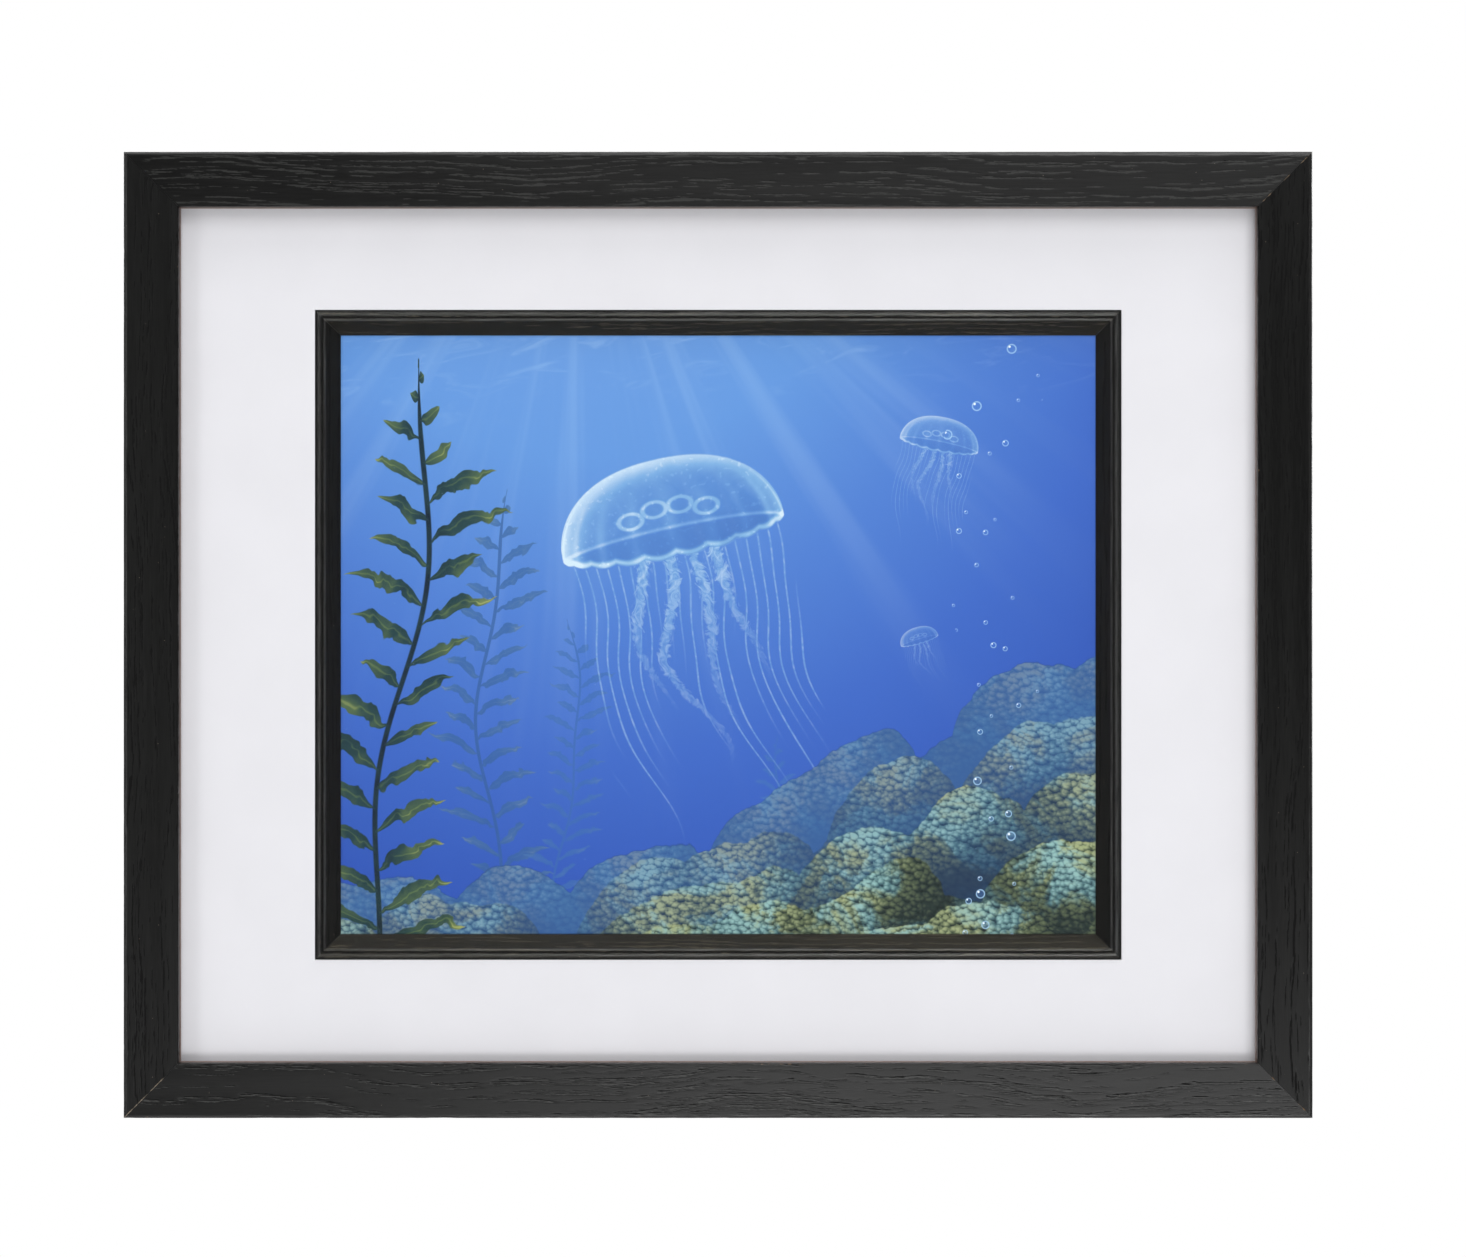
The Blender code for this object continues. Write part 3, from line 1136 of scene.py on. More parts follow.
def boulders_group() -> bpy.types.NodeTree:
    """A bank of rounded boulders with a knobby growth, rising to the right: its colour and its cover.

    Returns:
        The group.
    """

    def draw(desk: Desk, given: Terms) -> Terms:
        """Rows of boulders, each in front of the last, lit from above, darker in the cracks.

        Args:
            desk: the group's desk.
            given: Across and Up, by lower-case name.

        Returns:
            The outputs by name.
        """
        across, up = given["across"], given["up"]
        tone, haze, cover = 0.0, 0.0, 0.0
        rise = desk.step(across, -75, 130)
        uneven = desk.noise(desk.vector(across * 0.09, up * 0.09), 1.0, 3, 0.6, flat=True)
        for row, (foot, climb, width, tall, distance) in enumerate(BOULDER_ROWS):
            cell = desk.node("ShaderNodeTexVoronoi", voronoi_dimensions="1D")
            desk.feed(cell.inputs["W"], across / width + row * 3.7)
            desk.feed(cell.inputs["Scale"], 1.0)
            off = desk.least(Term(desk, cell.outputs["Distance"]), 0.7)
            size = desk.parts(Term(desk, cell.outputs["Color"]))[0]
            swell = desk.noise(desk.vector(across * 0.021, row * 5.3), 1.0, 1, 0.5, flat=True)
            arc = desk.maths("SQRT", 0.5 - off * off) * tall
            crest = foot + rise * climb + arc + (uneven - 0.5) * 5 + (swell - 0.5) * 26
            below = crest - up
            here = desk.step(below, 0.0, 0.7)
            body = desk.step(below / tall, 1.5, 0.0) * (1 - off * 0.9) + size * 0.12
            tone = tone + here * (body - tone)
            haze = haze + here * (distance - haze)
            cover = desk.most(cover, here)
        stir = desk.noise(desk.vector(across, up), 0.55, 2, 0.6, flat=True)
        spot = desk.vector(across + stir * 2.2, up * 1.1 - stir * 1.6)
        knobs = desk.cells(spot, 0.52, flat=True)
        bump = 1 - desk.least(Term(desk, knobs.outputs["Distance"]) * 1.25, 1)
        lit = up * 1.1 - desk.parts(Term(desk, knobs.outputs["Position"]))[1]
        lobes = bump * 0.75 + desk.least(desk.most(lit * 0.35, -0.3), 0.4)
        tufts = desk.noise(spot, 0.05, 4, 0.65, 0.5, flat=True)
        value = tone * (0.40 + lobes * 0.72 + (stir - 0.5) * 0.5) + (tufts - 0.5) * 0.3
        olive, teal = desk.ramp(value, OLIVE_STOPS), desk.ramp(value, TEAL_STOPS)
        green = desk.mix(desk.step(tufts, 0.42, 0.62), olive, teal)
        return {"colour": desk.mix(haze, green, linear(58, 104, 170)), "cover": cover}

    return node_group(
        "boulders",
        {"Across": ("value", 0.0), "Up": ("value", 0.0)},
        {"Colour": "colour", "Cover": "value"},
        draw,
    )


def kelp_group() -> bpy.types.NodeTree:
    """A stalk of kelp that stands at the origin: its tone and its cover. Lengths are millimetres.

    Returns:
        The group.
    """

    def draw(desk: Desk, given: Terms) -> Terms:
        """A swaying stalk with narrow leaves to both sides, each rising outward and wavy.

        Args:
            desk: the group's desk.
            given: Across, Up, Phase and Top, by lower-case name.

        Returns:
            The outputs by name.
        """
        up = given["up"]
        sway = desk.sine(up * 0.021 + given["phase"]) * 9 + desk.sine(up * 0.057 + given["phase"] * 2) * 2.5
        off = given["across"] - sway
        far = abs(off)
        left = desk.maths("LESS_THAN", off, 0)
        ruffle = desk.noise(desk.vector(off * 0.13, up * 0.1), 1.0, 2, 0.5, 0.4, flat=True)
        along = (up + left * LEAF_STEP / 2 - far * 0.75 + far * far * 0.014 + ruffle * 7) / LEAF_STEP
        own = desk.node("ShaderNodeTexWhiteNoise", noise_dimensions="1D")
        desk.feed(own.inputs["W"], desk.maths("FLOOR", along) + left * 57)
        top = given["top"]
        length = (15 + Term(desk, own.outputs["Value"]) * 14) * desk.step(up, top, top - 45, 0.02, 1)
        share = desk.least(far / length, 1)
        wide = desk.sine(desk.maths("POWER", share, 0.8) * math.pi) * 2.5
        middle = abs(desk.maths("FRACT", along) - 0.5) * LEAF_STEP
        leaf = desk.step(middle - wide, 0.15, -0.25) * desk.step(share, 1.0, 0.97)
        stalk = desk.step(far / desk.step(up, top, top - 30, 0.15, 1), 1.1, 0.6)
        vein = desk.step(middle, 0.5, 0.0)
        ends = desk.step(up, top, top - 0.6)
        tone = 0.3 + share * 0.35 + vein * 0.2 + (ruffle - 0.5) * 0.7 - stalk * 0.2
        return {"tone": tone, "cover": desk.most(leaf, stalk) * ends}

    return node_group(
        "kelp",
        {"Across": ("value", 0.0), "Up": ("value", 0.0), "Phase": ("value", 0.0), "Top": ("value", 100.0)},
        {"Tone": "value", "Cover": "value"},
        draw,
    )


def bubbles_group() -> bpy.types.NodeTree:
    """Air bubbles scattered over the plane: how bright they are and how much they hide.

    Returns:
        The group.
    """

    def draw(desk: Desk, given: Terms) -> Terms:
        """Some cells hold a bubble: a pale ring with a glint at its upper left.

        Args:
            desk: the group's desk.
            given: Across, Up and Share, by lower-case name.

        Returns:
            The outputs by name.
        """
        spot = desk.vector(given["across"], given["up"])
        cells = desk.cells(spot, 0.11, flat=True)
        chance, size, _ = desk.parts(Term(desk, cells.outputs["Color"]))
        chosen = desk.maths("LESS_THAN", chance, given["share"])
        radius = 0.06 + size * size * 0.13
        far = Term(desk, cells.outputs["Distance"]) / radius
        disc = desk.step(far, 1.0, 0.85)
        ring = desk.step(abs(far - 0.82), 0.25, 0.05)
        x, y, _ = desk.parts(Term(desk, cells.outputs["Position"]))
        shift = radius * 9
        glint_x = (given["across"] - x) / shift + 0.4
        glint_y = (given["up"] - y) / shift - 0.4
        glint = desk.step(desk.length(glint_x, glint_y), 0.35, 0.15)
        cover = disc * chosen * desk.most(ring * 0.75, glint, 0.18)
        return {"light": desk.most(ring * 0.55, glint), "cover": cover}

    return node_group(
        "bubbles",
        {"Across": ("value", 0.0), "Up": ("value", 0.0), "Share": ("value", 0.3)},
        {"Light": "value", "Cover": "value"},
        draw,
    )


@dataclass(frozen=True)
class Finish:
    """A material with a Principled shader, made once for each name.

    Args:
        name: the material's name.
    """

    name: str

    def material(self) -> bpy.types.Material:
        """Makes the finish a material, or finds it if it is made already.

        Returns:
            The material.
        """
        found = bpy.data.materials.get(self.name)
        if found:
            return found
        made = bpy.data.materials.new(self.name)
        made.use_nodes = True
        shader = made.node_tree.nodes["Principled BSDF"]
        self.draw(Desk(made.node_tree), shader.inputs)
        return made

    def draw(self, desk: Desk, shader: bpy.types.NodeInputs) -> None:
        """Lays out the finish's nodes.

        Args:
            desk: the material's desk.
            shader: the inputs of its Principled shader.
        """
        raise NotImplementedError

    def dress(self, piece: bpy.types.Object) -> None:
        """Gives the piece this finish in all its slots.

        Args:
            piece: the object to dress.
        """
        made = self.material()
        if not piece.data.materials:
            piece.data.materials.append(made)
        for slot in piece.material_slots:
            slot.material = made


@dataclass(frozen=True)
class BlackWood(Finish):
    """Open-pored wood with a satin black stain, whose arrises and mitres are rubbed to brown in places.

    Args:
        black: colour of the stained wood.
        bare: colour of the wood where the stain is rubbed off.
        chip: colour of the filler that shows in a scuffed mitre.
        raw: colour of the raw wood that shows in a mitre.
        lip: pale brown painted on the edge inside the lip, more of it towards the glass: painted light from
            the mat.
        pores: how much lighter than the stained wood the painted highlight on the lit floors of the pores
            is.
        roughness: roughness of the smooth wood.
        gloss: strength of its reflection.
        fibre_sheen: how much wider the gloss spreads across the fibres than along them.
        wear: how much of the arrises is rubbed.
        shadow: how much duller the shaded side of a pore is.
    """

    black: Colour = (0.0048, 0.0049, 0.0047)
    bare: Colour = (0.30, 0.20, 0.13)
    chip: Colour = (0.24, 0.205, 0.155)
    raw: Colour = (0.21, 0.11, 0.04)
    lip: Colour = (0.26, 0.18, 0.15)
    pores: float = 5.3
    roughness: float = 0.36
    gloss: float = 0.175
    fibre_sheen: float = 0.6
    wear: float = 0.42
    shadow: float = 0.62

    def toned(self, share: float) -> Colour:
        """The stained wood, lighter or darker."""
        return tuple(channel * share for channel in self.black)

    def draw(self, desk: Desk, shader: bpy.types.NodeInputs) -> None:
        """Fibre, pores with a painted highlight and a painted shadow, then wear, pale specks and a little
        dust.

        Args:
            desk: the material's desk.
            shader: the inputs of its Principled shader.
        """
        grain = desk.attribute("grain", vector=True)
        pore = desk.attribute("pore")
        place = desk.place()
        fibre = desk.group(fibre_group(), vector=grain, scale=1.0)
        worn = desk.group(
            wear_group(), vector=place, edge=desk.attribute("wear"), scale=420.0, amount=self.wear
        )["mask"]
        speck = desk.group(specks_group(), vector=place, scale=500.0, share=0.13, size=0.1)["mask"]
        stained = desk.mix(desk.step(fibre["tone"], 0.35, 0.7), self.toned(0.6), self.toned(1.5))
        ragged = (desk.noise(desk.stretched(grain, (1000, 5000, 5000)), 1.0, 2, 0.6) - 0.5) * 1.3
        # painted highlight on the lit floor of each pore, and painted shadow on the ledge that shades it
        floor = desk.step(pore + ragged, 0.35, 0.6)
        ledge = desk.step(ragged - pore, 0.25, 0.5)
        stained = desk.mix(floor, stained, self.toned(self.pores))
        stained = desk.mix(ledge, stained, self.toned(0.12))
        # painted light from the mat: the lip's inner edge is painted pale brown, more strongly towards the
        # glass
        thin = desk.step(desk.attribute("lip") + (fibre["tone"] - 0.5) * 0.3, 0.1, 1.1)
        stained = desk.mix(thin, stained, self.lip)
        rubbed = desk.mix(worn * 0.7, stained, self.bare)
        gap, rubbing, warmth = desk.parts(desk.attribute("joint", vector=True))
        scuffed = desk.noise(place, 900.0, 3, 0.65)
        open_line = desk.step(gap - (scuffed - 0.45) * 0.45, 0.14, 0.02)
        chipped = open_line * desk.step(rubbing + desk.noise(place, 240.0, 2, 0.5), 0.98, 1.16)
        rubbed = desk.mix(chipped, rubbed, desk.mix(warmth, self.chip, self.raw))
        desk.feed(shader["Base Color"], desk.mix(speck * 0.45, rubbed, (0.30, 0.25, 0.20)))
        rough = self.roughness + (fibre["tone"] - 0.5) * 0.34
        rough = rough + floor * 0.04 + ledge * self.shadow + worn * 0.2
        desk.feed(shader["Roughness"], rough)
        shader["Specular IOR Level"].default_value = self.gloss
        shader["Coat Roughness"].default_value = 0.28
        desk.feed(shader["Coat Weight"], desk.attribute("polish") * desk.step(fibre["height"], 0.25, 0.6))
        shader["Anisotropic"].default_value = self.fibre_sheen
        shader["Anisotropic Rotation"].default_value = 0.25
        along = desk.node("ShaderNodeTangent", direction_type="UV_MAP", uv_map=GRAIN_MAP)
        desk.feed(shader["Tangent"], Term(desk, along.outputs[0]))
        desk.feed(shader["Normal"], desk.bump(fibre["height"], 0.03 * MM, 0.55))


@dataclass(frozen=True)
class MatBoard(Finish):
    """Smooth white mat board with a very fine felt and a few faint specks.

    Args:
        white: colour of the board.
    """

    white: Colour = (0.778, 0.768, 0.807)

    def draw(self, desk: Desk, shader: bpy.types.NodeInputs) -> None:
        """Felt in the colour and the surface.

        Args:
            desk: the material's desk.
            shader: the inputs of its Principled shader.
        """
        place = desk.place()
        felt = desk.group(paper_group(), vector=place, scale=2200.0)
        speck = desk.group(specks_group(), vector=place, scale=55.0, share=0.05, size=0.022)["mask"]
        shade = tuple(channel * 0.965 for channel in self.white)
        board = desk.mix(desk.step(felt["tone"], 0.35, 0.7), shade, self.white)
        desk.feed(shader["Base Color"], desk.mix(speck * 0.35, board, (0.45, 0.43, 0.42)))
        desk.feed(shader["Roughness"], 0.86 + (felt["tone"] - 0.5) * 0.1)
        shader["Specular IOR Level"].default_value = 0.25
        desk.feed(shader["Normal"], desk.bump(felt["height"], 0.03 * MM, 0.25))


@dataclass(frozen=True)
class ClearGlass(Finish):
    """Clear picture glass that hardly mirrors and lets light through to what is behind it.

    Args:
        tint: colour of what shines through.
        index: how strongly it bends light, and so how much it mirrors.
    """

    tint: Colour = (0.985, 0.995, 0.99)
    index: float = 1.25

    def draw(self, desk: Desk, shader: bpy.types.NodeInputs) -> None:
        """Clear glass, with lamps and soft light let straight through.

        Args:
            desk: the material's desk.
            shader: the inputs of its Principled shader.
        """
        tree = desk.tree
        place = desk.place()
        desk.feed(shader["Base Color"], self.tint)
        smear = desk.noise(place, 14.0, 3, 0.6)
        desk.feed(shader["Roughness"], desk.step(smear, 0.55, 0.8, 0.0, 0.03))
        shader["Transmission Weight"].default_value = 1
        shader["IOR"].default_value = self.index
        shader["Specular IOR Level"].default_value = 0.06
        path = desk.node("ShaderNodeLightPath")
        through = desk.most(
            Term(desk, path.outputs["Is Shadow Ray"]), Term(desk, path.outputs["Is Diffuse Ray"])
        )
        clear = desk.node("ShaderNodeBsdfTransparent")
        blend = desk.node("ShaderNodeMixShader")
        desk.feed(blend.inputs[0], through)
        tree.links.new(tree.nodes["Principled BSDF"].outputs[0], blend.inputs[1])
        tree.links.new(clear.outputs[0], blend.inputs[2])
        tree.links.new(blend.outputs[0], tree.nodes["Material Output"].inputs["Surface"])


@dataclass(frozen=True)
class Hardboard(Finish):
    """Brown hardboard with its pressed screen pattern.

    Args:
        brown: colour of the board.
        pitch: spacing of the screen's wires.
    """

    brown: Colour = (0.235, 0.135, 0.066)
    pitch: float = 1.4 * MM

    def draw(self, desk: Desk, shader: bpy.types.NodeInputs) -> None:
        """Chips and fibres in the colour, and the screen's print in the surface.

        Args:
            desk: the material's desk.
            shader: the inputs of its Principled shader.
        """
        place = desk.place()
        felt = desk.group(paper_group(), vector=place, scale=900.0)
        chips = desk.noise(desk.stretched(place, (260, 260, 420)), 1.0, 4, 0.7, 0.5)
        x, _, z = desk.parts(place)
        turn = 2 * math.pi / self.pitch
        weave = desk.sine(x * turn) * desk.sine(z * turn)
        speck = desk.group(specks_group(), vector=place, scale=300.0, share=0.05, size=0.14)["mask"]
        tone = desk.step(chips * 0.6 + felt["tone"] * 0.4, 0.3, 0.7)
        dark = tuple(channel * 0.62 for channel in self.brown)
        light = tuple(channel * 1.3 for channel in self.brown)
        board = desk.mix(tone, dark, light)
        board = desk.mix(desk.step(weave, 0.1, 0.9) * 0.22, board, dark)
        desk.feed(shader["Base Color"], desk.mix(speck * 0.5, board, (0.05, 0.028, 0.016)))
        desk.feed(shader["Roughness"], 0.72 + tone * 0.14)
        desk.feed(shader["Normal"], desk.bump(weave * 0.5 + felt["height"] * 0.5, 0.12 * MM, 0.6))


@dataclass(frozen=True)
class ZincSteel(Finish):
    """Bright zinc-plated steel with rolling marks, fine scratches and dull edges.

    Args:
        zinc: colour of the plating.
    """

    zinc: Colour = (0.56, 0.57, 0.59)

    def draw(self, desk: Desk, shader: bpy.types.NodeInputs) -> None:
        """Patchy plating under scratches.

        Args:
            desk: the material's desk.
            shader: the inputs of its Principled shader.
        """
        place = desk.place()
        patches = desk.noise(place, 420.0, 4, 0.6)
        rolled = desk.noise(desk.stretched(place, (700, 9000, 9000)), 1.0, 2, 0.6)
        worn = desk.group(
            wear_group(), vector=place, edge=desk.step(patches, 0.45, 0.7), scale=900.0, amount=0.35
        )["mask"]
        dull = tuple(channel * 0.55 for channel in self.zinc)
        plated = desk.mix(desk.step(patches, 0.3, 0.75), dull, self.zinc)
        desk.feed(shader["Base Color"], desk.mix(worn * 0.35, plated, (0.25, 0.22, 0.19)))
        shader["Metallic"].default_value = 1
        desk.feed(shader["Roughness"], 0.27 + patches * 0.16 + rolled * 0.12 + worn * 0.2)
        desk.feed(shader["Normal"], desk.bump(rolled, 0.02 * MM, 0.4))


@dataclass(frozen=True)
class SoftRubber(Finish):
    """Matt black rubber with a moulded skin and clinging dust.

    Args:
        black: colour of the rubber.
    """

    black: Colour = (0.021, 0.021, 0.022)

    def draw(self, desk: Desk, shader: bpy.types.NodeInputs) -> None:
        """A pebbled skin with dust in it.

        Args:
            desk: the material's desk.
            shader: the inputs of its Principled shader.
        """
        place = desk.place()
        skin = desk.noise(place, 5200.0, 3, 0.6)
        dusty = desk.noise(place, 650.0, 3, 0.6)
        speck = desk.group(specks_group(), vector=place, scale=900.0, share=0.09, size=0.16)["mask"]
        grey = desk.mix(desk.step(dusty, 0.45, 0.8) * 0.5, self.black, (0.09, 0.088, 0.084))
        desk.feed(shader["Base Color"], desk.mix(speck * 0.5, grey, (0.28, 0.27, 0.25)))
        desk.feed(shader["Roughness"], 0.68 + dusty * 0.2)
        desk.feed(shader["Normal"], desk.bump(skin, 0.05 * MM, 0.4))


@dataclass(frozen=True)
class StudioFloor(Finish):
    """A plain pale studio floor.

    Args:
        pale: its darker and its lighter grey.
        glow: what is added where the camera sees it.
    """

    pale: tuple[Colour, Colour] = ((0.80, 0.80, 0.80), (0.84, 0.84, 0.84))
    glow: Colour = (0.5, 0.5, 0.5)

    def draw(self, desk: Desk, shader: bpy.types.NodeInputs) -> None:
        """Pale grey with the faintest unevenness.

        Args:
            desk: the material's desk.
            shader: the inputs of its Principled shader.
        """
        cloud = desk.noise(desk.place(), 1.5, 2, 0.5)
        desk.feed(shader["Base Color"], desk.mix(cloud, *self.pale))
        shader["Roughness"].default_value = 0.7
        path = desk.node("ShaderNodeLightPath")
        seen = Term(desk, path.outputs["Is Camera Ray"])
        desk.feed(shader["Emission Color"], desk.mix(seen, (0, 0, 0), self.glow))
        shader["Emission Strength"].default_value = 1


@dataclass(frozen=True)
class SeaPrint(Finish):
    """The printed picture: a generic underwater view with jellyfish, kelp and boulders, on white paper.

    Args:
        centre: middle of the printed picture.
        size: width and height of the printed area.
    """

    centre: Vector = field(default_factory=Vector)
    size: tuple[float, float] = (250 * MM, 200 * MM)

    def draw(self, desk: Desk, shader: bpy.types.NodeInputs) -> None:
        """The view from far to near, the paper's white edge, and the paper's surface.

        Args:
            desk: the material's desk.
            shader: the inputs of its Principled shader.
        """
        place = desk.place()
        x, _, z = desk.parts(place)
        across = (x - self.centre.x) / MM
        up = (z - self.centre.z) / MM
        view = desk.group(water_group(), across=across, up=up)["colour"]
        view = self.far_kelp(desk, view, across, up)
        view = self.jellyfish(desk, view, across, up)
        bank = desk.group(boulders_group(), across=across, up=up)
        view = desk.mix(bank["cover"], view, bank["colour"])
        near = desk.group(kelp_group(), across=across + NEAR_KELP_LEFT, up=up, phase=0.4, top=88.0)
        view = desk.mix(near["cover"] * 0.97, view, desk.ramp(near["tone"], KELP_STOPS))
        rising = desk.step(abs(across - BUBBLES_RIGHT + desk.sine(up * 0.05) * 6), 17, 6)
        air = desk.group(bubbles_group(), across=across, up=up, share=rising * 0.75)
        view = desk.mix(air["cover"], view, desk.ramp(air["light"], BUBBLE_STOPS))
        speck = desk.group(specks_group(), vector=place, scale=330.0, share=0.10, size=0.1)["mask"]
        view = desk.mix(speck * 0.55, view, linear(150, 196, 235))
        half_width, half_height = self.size[0] / 2 / MM, self.size[1] / 2 / MM
        within = desk.maths("LESS_THAN", abs(across), half_width)
        printed = within * desk.maths("LESS_THAN", abs(up), half_height)
        felt = desk.group(paper_group(), vector=place, scale=2600.0)
        paper = desk.mix(felt["tone"], (0.80, 0.79, 0.77), (0.88, 0.87, 0.85))
        inked = desk.mix(felt["tone"] * 0.04, view, (0.02, 0.03, 0.05))
        desk.feed(shader["Base Color"], desk.mix(printed, paper, inked))
        desk.feed(shader["Roughness"], 0.52 - printed * 0.08 + (felt["tone"] - 0.5) * 0.06)
        shader["Specular IOR Level"].default_value = 0.08
        desk.feed(shader["Normal"], desk.bump(felt["height"], 0.02 * MM, 0.2))

    def far_kelp(self, desk: Desk, view: Term, across: Term, up: Term) -> Term:
        """Kelp in the haze behind, small and blue.

        Args:
            desk: the material's desk.
            view: the colour of what lies behind.
            across: millimetres right of the print's middle.
            up: millimetres above it.

        Returns:
            The colour with this in front.
        """
        for start, size, phase, top, haze in FAR_KELP:
            stalk = desk.group(
                kelp_group(), across=(across - start) / size, up=(up + 100) / size, phase=phase, top=top
            )
            blue = desk.mix(haze, desk.ramp(stalk["tone"], KELP_STOPS), linear(66, 116, 190))
            view = desk.mix(stalk["cover"] * (1 - haze * 0.5), view, blue)
        return view

    def jellyfish(self, desk: Desk, view: Term, across: Term, up: Term) -> Term:
        """One near jellyfish, and small ones far off to the right, each in its own part of the plane.

        Args:
            desk: the material's desk.
            view: the colour of what lies behind.
            across: millimetres right of the print's middle.
            up: millimetres above it.

        Returns:
            The colour with this in front.
        """
        _, _, middle_x, middle_y, size, lean, cover = NEAR_JELLYFISH
        for far in FAR_JELLYFISH:
            there = desk.maths("GREATER_THAN", across, far.right_of)
            there = there * desk.maths("GREATER_THAN", up, far.above)
            middle_x = middle_x + there * (far.across - middle_x)
            middle_y = middle_y + there * (far.up - middle_y)
            size = size + there * (far.size - size)
            lean = lean + there * (far.lean - lean)
            cover = cover + there * (far.cover - cover)
        flat_x, flat_y = (across - middle_x) / size, (up - middle_y) / size
        upright = flat_y - flat_x * lean
        slant = flat_x + flat_y * lean
        made = desk.group(jellyfish_group(), across=slant, up=upright)
        return desk.mix(made["cover"] * cover, view, made["colour"])


# ---------------------------------------------------------------- wood pieces


@dataclass(frozen=True)
class PoreBelt:
    """How the open pores of a strip of wood are laid out, with their painted highlights and shadows.
    Lengths are metres.

    Args:
        seed: starts the strip's own random draws.
        lit_from: +1 where a painted highlight, as if lit from above, falls on the strip's outer side, -1 on
            its inner side, and 0 on a standing strip, whose pores are painted dark as shade.
        spacing: mean distance between two growth lines.
        sway: how far the growth lines wander across the strip.
        wander: length of one such wave along the strip.
        density: pores per metre of growth line.
        length: shortest and longest pore.
        width: narrowest and widest pore.
        depth: shallowest and deepest pore.
        lit_share: where across a pore its painted highlight ends and its painted shadow begins, from -1 to
            1.
    """

    seed: int
    lit_from: int = 1
    spacing: float = 1.5 * MM
    sway: float = 2.4 * MM
    wander: float = 190 * MM
    density: float = 400.0
    length: tuple[float, float] = (2.2 * MM, 12 * MM)
    width: tuple[float, float] = (0.45 * MM, 0.85 * MM)
    depth: tuple[float, float] = (0.04 * MM, 0.10 * MM)
    lit_share: float = 0.5

    def carve(self, along: np.ndarray, across: np.ndarray) -> tuple[np.ndarray, np.ndarray]:
        """How deep the pores are at each point, and how they look there.

        Args:
            along: each point's place along the strip.
            across: each point's place across the unrolled surface.

        Returns:
            The depth below the surface, and a painted shade: up to 1 for a painted highlight on a pore's
            lit floor, and down to -1 for a painted shadow on the ledge that shades it.
        """
        draw = np.random.default_rng(self.seed)
        order = np.argsort(along)
        ranked = along[order]
        deep, shade = np.zeros(len(along)), np.zeros(len(along))
        waves = [
            (self.sway * share, self.wander * stretch, draw.uniform(0, 2 * math.pi))
            for share, stretch in ((1, 1), (0.35, 0.37), (0.08, 0.11))
        ]
        slope = draw.uniform(-0.012, 0.012)

        def drift(place: np.ndarray | float) -> np.ndarray | float:
            """How far the growth lines have wandered at that place."""
            return slope * place + sum(a * np.sin(2 * math.pi * place / w + p) for a, w, p in waves)

        start, end = along.min(), along.max()
        margin = 2 * self.sway + 4 * MM
        line, high = across.min() - margin, across.max() + margin
        while line < high:
            strength = draw.uniform(0.3, 1.0)
            count = draw.poisson(self.density * (end - start) * strength)
            clusters = draw.uniform(start, end, max(3, int((end - start) / (50 * MM))))
            for _ in range(count):
                middle = draw.choice(clusters) + draw.normal(0, 18 * MM)
                half = self.length[0] / 2 + draw.exponential(self.length[1] - self.length[0]) / 5
                wide = draw.uniform(*self.width) * (0.7 + 0.3 * strength)
                sink = draw.uniform(*self.depth) * (0.45 + 0.55 * strength)
                shift = line + draw.normal(0, self.spacing * 0.12)
                follow = draw.uniform(0.1, 0.6)
                first, last = np.searchsorted(ranked, (middle - half, middle + half))
                if first == last:
                    continue
                rows = order[first:last]
                u = (along[rows] - middle) / half
                path = shift + drift(middle) + follow * (drift(along[rows]) - drift(middle))
                ragged = 1 + 0.25 * np.sin(along[rows] * 1900 + middle * 9000)
                v = (across[rows] - path) / (wide / 2) * ragged
                body = (1 - u**4) * np.clip(1.2 - np.abs(v), 0, 1)
                # painted light and shade: a highlight on one side of the pore and a shadow on the other; a
                # standing strip gets only shadow
                look = np.clip((self.lit_share - v * self.lit_from) * 7, -1, 1) if self.lit_from else -1
                deeper = body > deep[rows] / self.depth[1]
                deep[rows] = np.where(deeper, sink * body, deep[rows])
                shade[rows] = np.where(deeper, look * body * (0.55 + 0.45 * strength), shade[rows])
            line += self.spacing * draw.uniform(0.55, 1.45)
        return deep, shade


